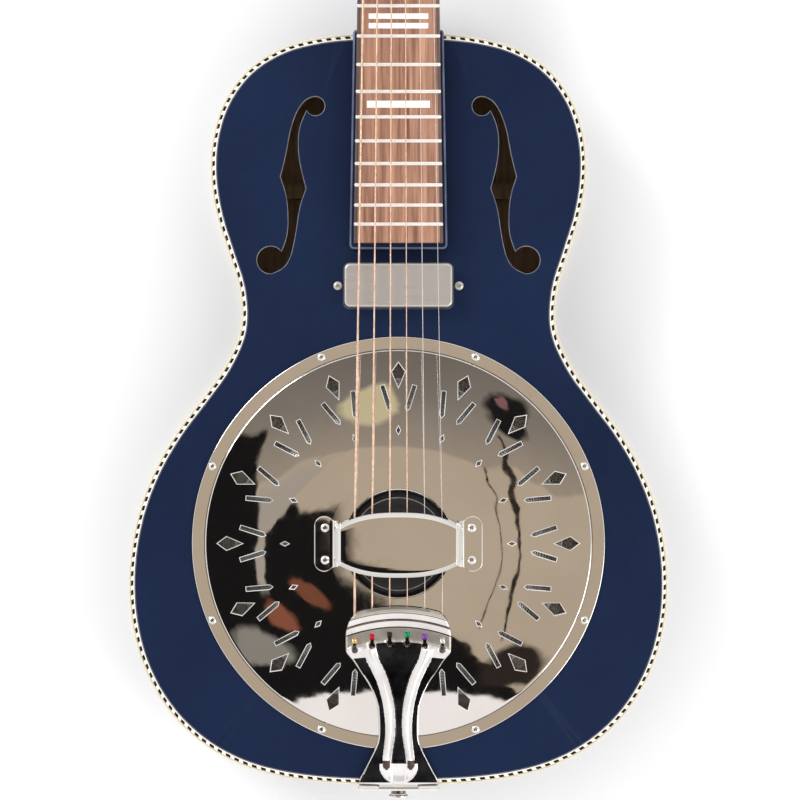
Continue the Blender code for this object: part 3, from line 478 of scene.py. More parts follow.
def look(name, colours, roughness, stretch=(1, 1, 1), scale=60, detail=3.0, rough_scale=180,
         bump=(), **fixed):
    """Procedural material. Colours and roughness drift with noise; each bump is a
    (kind, scale, depth in mm, stretch or direction). Fixed values go on the shader's sockets."""
    material = bpy.data.materials.new(name)
    material.use_nodes = True
    tree = material.node_tree
    shader = tree.nodes["Principled BSDF"]
    place = add_node(tree, "TexCoord", {}).outputs["Object"]
    drawn = add_node(tree, "Mapping", {"Vector": place, "Scale": stretch}).outputs["Vector"]
    drift = add_node(tree, "TexNoise", {"Vector": drawn, "Scale": scale, "Detail": detail})
    stops = [(0.3 + 0.4 * i / max(len(colours) - 1, 1), colour) for i, colour in enumerate(colours)]
    tree.links.new(ramp(tree, drift.outputs["Fac"], stops), shader.inputs["Base Color"])
    worn = add_node(tree, "TexNoise", {"Vector": drawn, "Scale": rough_scale, "Detail": 4.0})
    spread = add_node(tree, "MapRange", {"Value": worn.outputs["Fac"], "From Min": 0.3, "From Max": 0.7,
                                         "To Min": roughness[0], "To Max": roughness[1]})
    tree.links.new(spread.outputs["Result"], shader.inputs["Roughness"])
    normal = None
    for kind, size, depth, direction in bump:
        if kind == "noise":
            spot = add_node(tree, "Mapping", {"Vector": place, "Scale": direction}).outputs["Vector"]
            source = add_node(tree, "TexNoise", {"Vector": spot, "Scale": size, "Detail": 3.0})
        else:
            source = add_node(tree, "TexWave", {"Vector": place, "Scale": size}, wave_type=kind)
            source.bands_direction = source.rings_direction = direction
        sockets = {"Height": source.outputs["Fac"], "Distance": depth * MM, "Strength": 1.0}
        if normal:
            sockets["Normal"] = normal
        normal = add_node(tree, "Bump", sockets).outputs["Normal"]
    if normal:
        tree.links.new(normal, shader.inputs["Normal"])
    for socket, value in fixed.items():
        shader.inputs[socket.replace("_", " ")].default_value = value
    return material


def wave_scale(pitch):
    """Scale that makes a wave texture repeat once a pitch, in millimetres."""
    waves_per_metre = 20 / (2 * pi)        # of a wave texture at scale 1
    return 1 / (waves_per_metre * pitch * MM)


def metal(name, colours, roughness, **options):
    return look(name, colours, roughness, Metallic=1.0, **options)


def wood(name, dark, light, roughness, pores=0.02, grain=(1, 0.06, 1), scale=420, **options):
    middle = tuple((a + b) / 2 for a, b in zip(dark, light))
    return look(name, (dark, middle, light), roughness, stretch=grain, scale=scale, detail=6.0,
                bump=(("noise", 2.2 * scale, pores, grain),), **options)


BLUE = look("satin_blue_paint", ((0.0036, 0.0110, 0.040), (0.0056, 0.0160, 0.053)), (0.40, 0.50), scale=9,
            bump=(("noise", 260, 0.004, (1, 1, 1)),), Specular_IOR_Level=0.14)
EDGE_HIGHLIGHT = look("painted_highlight_edge", ((0.16, 0.16, 0.21), (0.32, 0.32, 0.38)), (0.3, 0.45), scale=200)
CREAM = look("cream_celluloid", ((0.66, 0.58, 0.42), (0.78, 0.71, 0.55)), (0.3, 0.42), scale=300,
             Specular_IOR_Level=0.4)
TAN = look("tan_celluloid", ((0.36, 0.29, 0.18), (0.47, 0.39, 0.26)), (0.35, 0.45), scale=300)
WHITE = look("white_celluloid", ((0.80, 0.76, 0.68), (0.88, 0.85, 0.78)), (0.3, 0.4), scale=300)
BLACK = look("black_celluloid", ((0.004, 0.004, 0.004), (0.010, 0.009, 0.008)), (0.3, 0.42), scale=300,
             Specular_IOR_Level=0.2)
BARE_WOOD = wood("bare_spruce", (0.36, 0.22, 0.11), (0.52, 0.36, 0.20), (0.6, 0.75))
PLY_EDGE = look("cut_plywood", ((0.30, 0.19, 0.10), (0.50, 0.36, 0.22)), (0.6, 0.8), stretch=(1, 1, 9),
                scale=120)
MAHOGANY = wood("mahogany", (0.16, 0.07, 0.035), (0.27, 0.13, 0.065), (0.55, 0.7))
MAPLE = wood("maple", (0.56, 0.40, 0.22), (0.68, 0.51, 0.31), (0.4, 0.55), grain=(0.08, 1, 1))
STAINED_AND_SHADE = wood("stained_maple_and_painted_shade", (0.010, 0.009, 0.011), (0.022, 0.020, 0.022), (0.3, 0.42),
               grain=(0.08, 1, 1))
BISCUIT_EDGE_HIGHLIGHT = wood("stain_painted_highlight", (0.10, 0.10, 0.095), (0.22, 0.215, 0.20), (0.3, 0.45))
ROSEWOOD = wood("rosewood", (0.17, 0.070, 0.040), (0.55, 0.285, 0.180), (0.42, 0.6), pores=0.05,
                grain=(1, 0.045, 1), scale=360)
BOARD_EDGE = wood("rosewood_edge", (0.050, 0.032, 0.028), (0.150, 0.098, 0.080), (0.45, 0.6),
                  grain=(1, 0.045, 1), scale=360)
LIT_EDGE = look("blue_edge_painted_highlight", ((0.055, 0.065, 0.12), (0.13, 0.15, 0.24)), (0.3, 0.4), scale=60)
CHROME = metal("chrome_plate", ((0.80, 0.78, 0.75), (0.85, 0.83, 0.81)), (0.012, 0.04), scale=25,
               bump=(("noise", 24, 0.003, (1, 1, 1)),))
CUT_EDGE_HIGHLIGHT = look("chrome_cut_edge_painted_highlight", ((0.60, 0.59, 0.57), (0.92, 0.91, 0.89)), (0.25, 0.4), scale=60,
                Metallic=0.2)
BRIGHT_REFLECTION_CHROME = look("chrome_painted_bright_reflection", ((0.68, 0.65, 0.64), (0.84, 0.82, 0.81)), (0.08, 0.16), scale=45,
                     Metallic=0.4)
WARM_REFLECTION_CHROME = look("chrome_painted_warm_reflection", ((0.40, 0.365, 0.31), (0.60, 0.55, 0.49)), (0.06, 0.14), scale=60,
                   Metallic=0.5)
DARK_REFLECTION_CHROME = metal("chrome_painted_dark_reflection", ((0.008, 0.008, 0.009), (0.024, 0.024, 0.026)), (0.10, 0.2), scale=120)
SATIN = look("satin_nickel", ((0.56, 0.53, 0.50), (0.585, 0.55, 0.52)), (0.26, 0.34), scale=30,
             stretch=(0.1, 1, 1), rough_scale=300, bump=(("noise", 1500, 0.0001, (0.3, 1, 1)),),
             Metallic=0.6)
SPUN = look("spun_aluminium", ((0.78, 0.78, 0.79), (0.96, 0.96, 0.96)), (0.12, 0.3), scale=40,
            bump=(("RINGS", wave_scale(0.45), 0.006, "Z"),), Metallic=0.6)
FRET_METAL = look("fret_nickel", ((0.84, 0.80, 0.76), (0.94, 0.90, 0.86)), (0.12, 0.25), scale=200,
                  Metallic=0.3)
BRASS = metal("gear_brass", ((0.52, 0.36, 0.14), (0.66, 0.48, 0.22)), (0.25, 0.4), scale=200)
STEEL = metal("plain_steel", ((0.60, 0.60, 0.61), (0.74, 0.74, 0.75)), (0.15, 0.28), scale=200)
PLAIN_STRING = look("tinned_steel", ((0.74, 0.66, 0.63), (0.88, 0.82, 0.79)), (0.2, 0.3), scale=300,
                    Metallic=0.5)
BRONZE = metal("wound_bronze", ((0.70, 0.46, 0.34), (0.92, 0.70, 0.56)), (0.25, 0.36), scale=300,
               bump=(("BANDS", wave_scale(0.32), 0.025, "Y"),))
DARK_NICKEL_AND_SHADE = metal("dark_nickel_and_painted_shade", ((0.13, 0.10, 0.085), (0.24, 0.19, 0.16)), (0.15, 0.3), scale=120)
PEARL = look("ivory_pearl", ((0.88, 0.87, 0.84), (0.97, 0.97, 0.95)), (0.12, 0.25), scale=110,
             Coat_Weight=0.4)
BONE = look("bone", ((0.76, 0.70, 0.56), (0.84, 0.79, 0.67)), (0.25, 0.4), stretch=(0.2, 1, 1), scale=240)
PLASTIC = look("black_plastic", ((0.010, 0.010, 0.010), (0.020, 0.020, 0.019)), (0.3, 0.5), scale=90,
               bump=(("noise", 900, 0.006, (1, 1, 1)),))
WINDOW = look("shadowed_brown", ((0.035, 0.014, 0.008), (0.07, 0.03, 0.016)), (0.4, 0.6), scale=300)
BALL_METALS = [metal(f"ball_{name}", (tuple(0.75 * c for c in colour), colour), (0.12, 0.25), scale=500)
               for name, colour in (("silver", (0.72, 0.72, 0.72)), ("purple", (0.26, 0.06, 0.48)),
                                    ("green", (0.01, 0.30, 0.12)), ("black", (0.03, 0.03, 0.03)),
                                    ("red", (0.62, 0.02, 0.03)), ("brass", (0.78, 0.54, 0.20)))]


# ---------------------------------------------------------------- body

OUTLINE = refined(offset(rims("back_plate", 0)[0], -EDGE_TO_PLATE), 6)
EDGE_STEPS = np.linalg.norm(np.roll(OUTLINE, -1, axis=0) - OUTLINE, axis=1)
EDGE_PLACES = np.concatenate(([0], np.cumsum(EDGE_STEPS)))
INWARD = offset(OUTLINE, 1.0) - OUTLINE


def along_edge(places, depth):
    """Points at distances along the body's outline, a depth inside it."""
    places = np.mod(places, EDGE_PLACES[-1])
    closed = [np.vstack((table, table[:1])) for table in (OUTLINE, INWARD)]
    spot, inward = [np.column_stack([np.interp(places, EDGE_PLACES, table[:, axis]) for axis in (0, 1)])
                    for table in closed]
    return spot + depth * inward


def build_soundboard():
    """Top with its round opening, the pickup's opening, two curved sound holes and screw holes."""
    loops = rims("soundboard", TOP)
    small = [loop for loop in loops if len(loop) <= 8]
    holes = [loop for loop in loops if len(loop) > 12 and abs(np.mean(loop, axis=0)[0]) > 20]
    ledge, gap = 11, 0.6                   # what the well's rim carries; the air round the pickup
    well = circle(corners("sound_well")[1].x - ledge, 144)
    cover = half_size_of("pickup_cover")
    pickup = rounded(cover.x + gap, cover.y + gap, 4) + (0, PICKUP_Y)
    edges = [offset(OUTLINE, EDGE_TO_PLATE), well, pickup]
    edges += [refined(loop, 3) for loop in holes] + [np.array(loop) for loop in small]
    shape = plate(edges, TOP_LOW, TOP, ease=0.35, wall=1, under=2)
    # The eased edge round the rim and every opening is painted light grey-lavender: a painted highlight.
    for number, face in enumerate(shape.faces):
        if 0.1 < np.ptp(shape.points[list(face), 2]) < 0.4:        # the eased edge
            shape.paints[number] = 3
    piece("soundboard_visual", shape, (BLUE, PLY_EDGE, BARE_WOOD, EDGE_HIGHLIGHT), "blue_paint",
          nodes=["soundboard"])


def build_back_and_sides():
    back = plate([offset(OUTLINE, EDGE_TO_PLATE)], 0, BACK_TOP, ease=0.1)
    flat_top = [1 if abs(np.mean(back.points[list(face)], axis=0)[2] - BACK_TOP) < 0.01 else 0
                for face in back.faces]
    piece("back_visual", Shape(back.points, back.faces, flat_top), (BLUE, BARE_WOOD), "blue_paint",
          nodes=["back_plate"])
    low, high = BINDING_HEIGHT + SEAM, TOP - BINDING_HEIGHT - SEAM
    levels = ((0, low), (0, high), (SIDE_THICKNESS, high), (SIDE_THICKNESS, low))
    walls = layered(OUTLINE, levels, cyclic=True, paint=lambda i, k: 0 if i == 0 else 1)
    jack_hole = rod(JACK_BORE, -8, 6, 32).moved(JACK_FRAME)
    piece("sides_visual", carved(walls, jack_hole), (BLUE, BARE_WOOD), "blue_paint", nodes=["sides"])


def build_bindings():
    """Strips with a rope pattern: slanted black dashes on white between a tan and a dark line."""
    period, slant, strip_middle = 6.2, 0.45, 1.4
    repeats = round(EDGE_PLACES[-1] / period)
    parts = np.array((0, 0.27, 0.54, 0.77))
    marks = (np.arange(repeats)[:, None] + parts).ravel() * EDGE_PLACES[-1] / repeats
    width, height = EDGE_TO_PLATE - SEAM, BINDING_HEIGHT
    section = ((0, height), (0, 0.5), (0.15, 0.15), (0.45, 0), (0.8, 0), (1.15, 0), (1.3, 0), (2.9, 0),
               (3.6, 0), (width, 0), (width, height))
    tan_line, dash, dark_line = 4, 6, 8

    def paint(i, k):
        if i == dash:
            return 1 if k % 4 < 2 else 3
        return {tan_line: 2, dash + 1: 3, dark_line: 1}.get(i, 0)

    for node, face, into in (("top_binding", TOP, -1), ("back_binding", corners("back_binding")[0].z, 1)):
        rings = [at(along_edge(marks + slant * (depth - strip_middle), depth), face + into * down)
                 for depth, down in section]
        piece(f"{node}_visual", skin(rings, cyclic=True, paint=paint), (CREAM, BLACK, TAN, WHITE),
              "rope_binding", nodes=[node])


# ---------------------------------------------------------------- resonator and cover plate

def build_resonator():
    """Spun cone with turning ripples and a ridge, the maple biscuit and its saddle."""
    (_, _, rim_low), (rim, _, cone_top) = corners("resonator_cone")
    apex, edge, thickness, pitch = 30.5, 113.5, 0.8, 1.8
    radii = np.arange(apex, edge, pitch / 4)
    heights = np.interp(radii, (apex, 75, edge), (cone_top, 87.2, 74.2))
    ripple = np.interp(radii, (78, 86), (0.03, 0.11))
    heights += ripple * (np.sin(2 * pi * radii / pitch) - 1) + 0.8 * np.exp(-((radii - 106) / 1.1) ** 2)
    upper = [(2.4, cone_top)] + list(zip(radii, heights)) + [(116.5, 71.1), (rim, 71.1)]
    lower = [(rim, rim_low), (116, rim_low), (113, 73.2), (74.8, 86.1), (apex - 0.2, cone_top - thickness),
             (2.4, cone_top - thickness)]
    # The flat seat round the biscuit and the cone out to 37 mm are painted near black: painted shade under
    # the cover plate.
    shaded = sum(radius < 37 for radius, _ in upper)       # the seat round the biscuit is dark
    cone = lathe(upper + lower, 120, cyclic=True, paint=lambda i, k: 1 if i < shaded else 0)
    piece("cone_visual", cone, (SPUN, STAINED_AND_SHADE), "spun_aluminium", nodes=["resonator_cone"])
    (_, _, low), (radius, _, high) = corners("biscuit")
    profile = ((radius - 0.6, low), (radius, low + 0.6), (radius, high - 0.7), (radius - 0.2, high - 0.2),
               (radius - 0.7, high))
    slot = block((-35, 35), (-1.8, 1.8), (high - 3, high + 2))
    bore = rod(1.8, low - 1, high - 4, 16)
    # The biscuit's rounded upper edge is painted light grey: a painted highlight.
    disc = lathe(profile, 72, paint=lambda i, k: 1 if i in (2, 3) else 0)
    piece("biscuit_visual", carved(disc, slot + bore), (STAINED_AND_SHADE, BISCUIT_EDGE_HIGHLIGHT), "stained_wood",
          nodes=["biscuit"])
    low, high = corners("saddle")
    section = [(-1.5, low.z), (1.5, low.z), (1.5, high.z - 4), (0.9, high.z - 0.5), (0.4, high.z),
               (-0.4, high.z), (-0.9, high.z - 0.5), (-1.5, high.z - 4)]
    ends = ((high.x - 0.01, 3.0), (high.x - 0.4, 1.6), (high.x - 1.4, 0.5), (high.x - 3, 0))
    stations = [(-x, drop) for x, drop in ends] + [(x, drop) for x, drop in ends[::-1]]
    rings = [[(x, y, min(z, high.z - drop)) for y, z in section] for x, drop in stations]
    notches = together(tube([(x, -4, high.z + 0.1), (x, 4, high.z + 0.1)], radius + 0.12, 10)
                       for x, radius in string_places())
    piece("saddle_visual", carved(skin(rings), notches), STAINED_AND_SHADE, "stained_wood", nodes=["saddle"])


def string_places():
    """Each string's place across the saddle, and its radius."""
    for number, radius in enumerate(STRING_RADII, 1):
        yield string_x(number, SADDLE_SPACING), radius


COVER_SHEET = 1.0              # thickness of the pressed cover plate
FLANGE_START, DOME_START, MOUTH_END = 124.9, 122.4, 36.0       # radii of its zones
DOME_EDGE, DOME_FLAT, DOME_RISE = 124.8, 45.0, 6.0
DOME_BEND = DOME_RISE / (DOME_EDGE - DOME_FLAT) ** 2


def dome_z(radius):
    return DOME_TOP - DOME_BEND * max(radius - DOME_FLAT, 0) ** 2


def dome_slope(radius):
    return atan2(2 * DOME_BEND * max(radius - DOME_FLAT, 0), 1)


def pattern_cutters():
    """Sixteen repeats of a kite, a splayed pair of slots and a small diamond, with sloping edges."""
    bevel, inset, half_slot = 0.5, 0.35, 1.65
    inner, outer = Vector((5.3, 85.1)), Vector((10.5, 101.7))
    along = (outer - inner).normalized() * half_slot
    across = Vector((along.y, -along.x))
    slot = [inner - across + along, inner - 0.3 * along, inner + across + along, outer + across,
            outer - across]
    outlines = [[(0, 116.7), (-4.6, 110.3), (0, 99.2), (4.6, 110.3)], [point[:] for point in slot],
                [(-x, y) for x, y in slot], [(0, 75.8), (-1.65, 72.7), (0, 69.6), (1.65, 72.7)]]
    cutters = []
    for k in range(16):
        for loop in outlines:
            middle = sum(y for _, y in loop) / len(loop)
            loop = [(x, y - middle) for x, y in loop]
            levels = ((inset, -3.0), (inset, -bevel), (inset - 2 * bevel, bevel))
            seat = placed((0, middle, dome_z(middle)), "X", -dome_slope(middle))
            # The cut-outs' walls and sloping edges are painted light: a painted highlight round each opening.
            cutters.append(layered(loop, levels, mitred).painted(1)
                           .moved(around("Z", 2 * pi * k / 16) @ seat))
    return together(cutters)


def build_coverplate():
    """Pressed plate: a flat flange, a groove, the domed middle with its cut-outs, and the mouth."""
    low = COVER_LOW
    flange = low + COVER_SHEET
    dome = [(radius, dome_z(radius)) for radius in (DOME_START, *np.arange(120, DOME_FLAT - 1, -3.0))]
    dish = 0.138               # the flange rises outwards by twice this
    edge = 0.7                 # radius of its outer edge
    upper = [(PLATE_RADIUS, low), (PLATE_RADIUS, flange + dish - edge)]
    upper += [(PLATE_RADIUS - edge + edge * cos(a), flange + dish - edge + edge * sin(a))
              for a in np.linspace(0.3, pi / 2, 4)]
    upper += [(FLANGE_START - 0.6 * sin(a), flange - dish + 0.6 * (1 - cos(a)))
              for a in np.linspace(0, pi / 2, 7)]
    wall, shoulder = 124.2, 0.9            # the dome's upright edge and its rounded top
    crown = dome_z(wall - shoulder)
    # The concave fillet and the wall rising from the flange are painted dark: painted shade.
    groove = range(6, len(upper))          # the faces that turn up into the wall
    upper += [(wall - shoulder * (1 - cos(a)), crown - shoulder * (1 - sin(a)))
              for a in np.linspace(0.1, 1.45, 8)]
    mouth = [(radius, DOME_TOP - drop) for radius, drop in
             ((40, 0), (35.4, 0), (34.6, 0.12), (34.0, 0.45), (33.6, 1.1), (33.6, 1.7), (34.4, 1.9),
              (MOUTH_END, COVER_SHEET))]
    lower = [(radius, z - COVER_SHEET) for radius, z in dome[::-1]]
    lower += [(123.2, crown - 1.4), (123.4, low)]
    plate_shape = lathe(upper + dome + mouth + lower, 240, cyclic=True,
                        paint=lambda i, k: 2 if i in groove else 0)
    plate_shape = carved(plate_shape, pattern_cutters())
    plate_shape = carved(plate_shape, together(rod(1.6, TOP - 1, TOP + 4, 16).moved((x, y, 0))
                                               for x, y in cover_screw_places()))
    cover = piece("coverplate_visual", plate_shape, (CHROME, CUT_EDGE_HIGHLIGHT, DARK_NICKEL_AND_SHADE), "chrome",
                  nodes=["coverplate"])
    cover.modifiers.clear()
    true_dome_normals(cover.data)


def true_dome_normals(mesh):
    """The flange shades flat, and the dome with its own curve, also beside the cut-outs."""
    normals = [Vector(corner.vector) for corner in mesh.corner_normals]
    for face in mesh.polygons:
        radius = face.center.xy.length / MM
        if radius > FLANGE_START and face.normal.z > 0.99:
            for index in face.loop_indices:
                normals[index] = face.normal.copy()
        if not MOUTH_END < radius < DOME_START:
            continue
        for index in face.loop_indices:
            spot = mesh.vertices[mesh.loops[index].vertex_index].co
            slope = 2 * DOME_BEND * max(spot.xy.length / MM - DOME_FLAT, 0)
            normal = Vector((spot.x, spot.y, 0)).normalized() * slope + Vector((0, 0, 1))
            normal.normalize()
            for true in (normal, -normal):
                if true.dot(face.normal) > 0.99:
                    normals[index] = true
    mesh.normals_split_custom_set([normal[:] for normal in normals])


def cover_screw_places():
    for k in range(8):
        yield centre_of(f"coverplate_screw_{k + 1}")[:2]


def screw_head(radius, height, shank_radius, length, recess=0.9):
    """Domed head with a cross recess, its underside at z = 0 and its shank below."""
    profile = [(shank_radius, -length), (shank_radius, 0), (radius, 0), (radius, 0.3 * height)]
    profile += [(radius * cos(a), height * (0.3 + 0.7 * sin(a))) for a in np.linspace(0.25, 1.35, 6)]
    shape = lathe(profile, 28)
    half = radius * 0.56
    for turn in (0, pi / 2):
        rings = [at(rounded(half * wide, 0.13 * radius * wide, 0.02, 1), z)
                 for z, wide in ((height - recess, 0.45), (height + 0.3, 1.1))]
        shape = carved(shape, skin(rings).moved(around("Z", turn)))
    return shape


def build_cover_screws():
    seat = COVER_LOW + COVER_SHEET
    tip = corners("coverplate_screw_1")[0].z
    head = screw_head(half_size_of("coverplate_screw_1").x, 1.9, 1.3, seat - tip)
    for k, (x, y) in enumerate(cover_screw_places()):
        node = f"coverplate_screw_{k + 1}"
        screw = head.moved(placed((x, y, seat), "Z", 1.9 * k + 0.3))
        piece(f"{node}_visual", screw, CHROME, "chrome", nodes=[node])


REST_END, FOOT_RADIUS, FOOT_HALF = 53.8, 6.35, 17.8
PANEL_CROWN = 0.05             # how little the hand rest's panel curves


def rest_rows(top, foot):
    """Right half of the hand rest: x, height, half depth, lean, rim's width and fall."""
    def depth(x):
        return 20.75 - 6.9 * (min(x, 37.5) / 35.7) ** 2.64

    def foot_depth(x):
        return FOOT_HALF - FOOT_RADIUS + (max(FOOT_RADIUS ** 2 - (x - REST_END + FOOT_RADIUS) ** 2, 0)) ** 0.5

    rim, fall, bulge = 3.1, 2.3, PANEL_CROWN
    rows = [(x, top - bulge * (x / 36.4) ** 2, depth(x), 0, rim, fall) for x in np.linspace(0, 36.4, 13)]
    edge = top - bulge
    rows += [(36.7, edge - 0.08, depth(36.7), 0.1, rim, fall), (38.2, edge - 1.2, depth(38), 0.3, rim, fall),
             (39.6, edge - 2.3, 13.9, 0.5, 2.6, 1.8), (40.0, edge - 3.0, 13.9, 0.9, 1.6, 1.0),
             (40.1, edge - 4.5, 13.9, 1, 0.8, 0.5), (40.2, foot + 6, 13.9, 1, 0.6, 0.4)]
    bend = 2.2
    rows += [(40.3 + bend * (1 - cos(a)), foot + bend * (1 - sin(a)), 13.9 + 1.5 * a / (pi / 2),
              cos(a), 0.6, 0.45) for a in np.linspace(0, pi / 2, 8)]
    rows += [(x, foot, foot_depth(x), 0, 0.6, 0.45) for x in (44, 46, 48, 49.5, 50.8, 51.8, 52.6, 53.2)]
    rows += [(53.6, foot - 0.12, foot_depth(53.6), 0, 0.6, 0.4), (REST_END, foot - 0.5, foot_depth(53.75), 0,
                                                                0.5, 0.3)]
    return rows


def build_hand_rest():
    """Pressed bridge with turned-down rims, two legs and two round-ended feet, held by four screws."""
    low, high = corners("hand_rest")
    thickness = 1.5
    half = np.array(rest_rows(high.z, low.z + thickness))
    rings = []
    share = np.array((0, 0.04, 0.12, 0.5, 0.94, 1.0))         # the rim's section: how far in,
    turned_down = np.array((1.22, 1.03, 0.9, 0.5, 0.04, 0))   # and how far down
    for x, z, depth, lean, rim, fall in np.vstack((half[:0:-1] * (-1, 1, 1, 1, 1, 1), half)):
        side = 1 if x >= 0 else -1
        drop = fall * turned_down
        inner = np.linspace(-1, 1, 11)[1:-1] * (depth - rim)
        across = np.concatenate((share * rim - depth, inner, (depth - share * rim)[::-1]))
        crown = PANEL_CROWN * (1 - lean) * (abs(x) < 38)
        bulge, down = crown * (inner / 20) ** 2, crown * ((depth - rim) / 20) ** 2
        falls = np.concatenate((drop + down, bulge, (drop + down)[::-1]))
        upper = [(x - side * f * lean, y, z - f * (1 - lean)) for y, f in zip(across, falls)]
        under = [(px - side * thickness * lean, y, pz - thickness * (1 - lean)) for px, y, pz in upper]
        rings.append(upper + under[::-1])
    piece("hand_rest_visual", skin(rings), CHROME, "chrome", nodes=["hand_rest"], sharp=50)
    head = screw_head(2.8, 1.7, 1.2, 1.4)
    across, along = 46.9, 10.3             # the screws' places in the feet
    for number, (x, y) in enumerate(((-1, -1), (-1, 1), (1, -1), (1, 1)), 1):
        spot = placed((x * across, y * along, low.z + thickness), "Z", 1.3 * number)
        piece(f"hand_rest_screw_{number}", head.moved(spot), CHROME, "chrome")


# ---------------------------------------------------------------- neck

def board_half(y):
    """Half the fingerboard's width."""
    slope = (BOARD_HALF_AT_END - BOARD_HALF_AT_NUT) / (SCALE_LENGTH - BOARD_END)
    return BOARD_HALF_AT_NUT + slope * (SCALE_LENGTH - y)


def fret_y(number):
    return SCALE_LENGTH * 2 ** (-number / 12)


def neck_section(half_width, depth, top):
    """D-shaped section with eased upper corners, as (x, z) points."""
    angles = np.linspace(0, pi, 33)
    section = [(half_width * cos(a), top - depth * max(sin(a), 0.0) ** 0.85) for a in angles]
    ease = 0.3
    section = [(x, min(z, top - 0.25)) for x, z in section]
    return [(half_width - ease, top), *section, (ease - half_width, top)]


def build_neck():
    """Heel, shaft, headstock and the riser that carries the fingerboard over the top."""
    top = BOARD_LOW - 0.3
    depths = eased(((0, 91), (12, 90), (18, 84), (24, 70), (31, 52), (40, 36), (52, 25), (70, 19.5),
                    (110, 17.5), (210, 16.5), (318, 15)), 4)
    rings = []
    for distance, depth in depths:
        y = SHOULDER_Y + SEAM + distance
        rings.append([(x, y, z) for x, z in neck_section(board_half(y), depth, top)])
    for along in (1.0, 12.0):
        section = neck_section(BOARD_HALF_AT_NUT - 0.4, HEAD_THICKNESS - 0.6, -0.3)
        rings.append([HEAD_FRAME @ Vector((x, along, z)) for x, z in section])
    neck = joined(joined(skin(rings), riser(top)), headstock().moved(HEAD_FRAME))
    channel = block((-3, 3), (200, NUT_BACK + 24), (92.2, top + 4))
    bores = together(rod(3.5, -HEAD_THICKNESS - 3, 3, 20).moved((x, y, 0)).moved(HEAD_FRAME)
                     for x, y, _ in post_places().values())
    neck = carved(carved(neck, channel), bores)
    piece("neck_visual", neck, (BLUE, LIT_EDGE), "blue_paint", nodes=["neck"], sharp=40)


def riser(top):
    end, corner = corners("neck")[0].y, 3.0
    half_at_end, half_at_body = 31.4, 29.0
    loop = [(half_at_body - 1, SHOULDER_Y + 0.8), (half_at_body, SHOULDER_Y - 0.7)]
    loop += [(half_at_end - corner + corner * cos(a), end + corner + corner * sin(a))
             for a in np.linspace(0, -pi / 2, 7)]
    loop += [(-x, y) for x, y in loop[::-1]]
    levels = ((0, TOP + SEAM), (0, top - 1.1), (0.25, top - 0.45), (0.75, top - 0.1), (1.3, top))
    # Faces 1 to 3, the riser's rounded upper edges, are painted lighter blue: a painted highlight.
    return layered(loop, levels, mitred, paint=lambda i, k: 1 if 0 < i < 4 else 0)


def headstock():
    half = ((22, 0.4), (22.6, 8), (27, 20), (31, 32), (32.2, 60), (34, 125), (35.6, 158), (31, 171),
            (18, 174), (9, 179), (0, 181))
    loop = refined([*half, *[(-x, y) for x, y in half[-2::-1]]], 5, sharp=radians(50))
    low = -HEAD_THICKNESS
    return layered(loop, ((1.2, low), (0.4, low + 0.3), (0, low + 1.1), (0, -1.0), (0.3, -0.3), (1.0, 0)))


def build_fingerboard():
    """Board, twenty crowned frets, inlaid blocks and side dots."""
    low = BOARD_LOW
    stations = []
    for y in (BOARD_END, BOARD_END + 0.5, SCALE_LENGTH):
        half, high = board_half(y), BOARD_TOP - (0.5 if y == BOARD_END else 0)
        right = [(half, low), (half, high - 0.6), (half - 0.2, high - 0.15), (half - 0.7, high),
                 (half - 2.2, high)]
        stations.append([(x, y, z) for x, z in right] + [(-x, y, z) for x, z in right[::-1]])
    board = skin(stations, paint=lambda i, k: 0 if k in (4, 9) else 1)
    piece("fingerboard_visual", board, (ROSEWOOD, BOARD_EDGE), "fingerboard_wood", nodes=["fingerboard"])
    crown = [(1.15 * cos(a), (FRET_TOP - BOARD_TOP) * sin(a) ** 0.8) for a in np.linspace(0, pi, 9)]
    frets = []
    for number in range(1, 21):
        y = fret_y(number)
        half = board_half(y) + 0.02
        rings = []
        for x, size in ((-half, 0.45), (0.35 - half, 0.85), (0.8 - half, 1), (half - 0.8, 1),
                        (half - 0.35, 0.85), (half, 0.45)):
            bead = [(x, y + size * across, BOARD_TOP + size * up) for across, up in crown]
            rings.append([(x, y + crown[0][0] * size, BOARD_TOP - 0.3)] + bead
                         + [(x, y + crown[-1][0] * size, BOARD_TOP - 0.3)])
        frets.append(skin(rings))
    piece("frets", together(frets), FRET_METAL, "satin_nickel", sharp=50)
    build_inlays()


def build_inlays():
    """Ivory blocks behind the frets, two at the twelfth, and dots along the bass side."""
    proud = 0.03
    blocks = []
    for number, share in ((3, 0.68), (5, 0.69), (7, 0.70), (9, 0.71), (12, 0.72), (15, 0.74)):
        middle = (fret_y(number) + fret_y(number - 1)) / 2
        half = share * board_half(middle)
        spans = ((-4.8, -1.3), (1.3, 4.8)) if number == 12 else ((-2.25, 2.25),)
        for near, far in spans:
            loop = rounded(half, (far - near) / 2, 0.4, 3) + (0, middle + (near + far) / 2)
            blocks.append(skin([at(loop, BOARD_TOP - 0.5), at(loop, BOARD_TOP + proud)]))
    piece("inlays", together(blocks), PEARL, "ivory_plastic")
    dots = []
    for number, twin in ((3, 0), (5, 0), (7, 0), (9, 0), (12, -3.0), (12, 3.0), (15, 0)):
        y = (fret_y(number) + fret_y(number - 1)) / 2 + twin
        seat = placed((-board_half(y), y, BOARD_TOP - 3), "Y", -pi / 2)
        dots.append(lathe(((1.0, -0.6), (1.0, 0.01), (0.85, 0.05)), 16).moved(seat))
    piece("side_dots", together(dots), PEARL, "ivory_plastic")


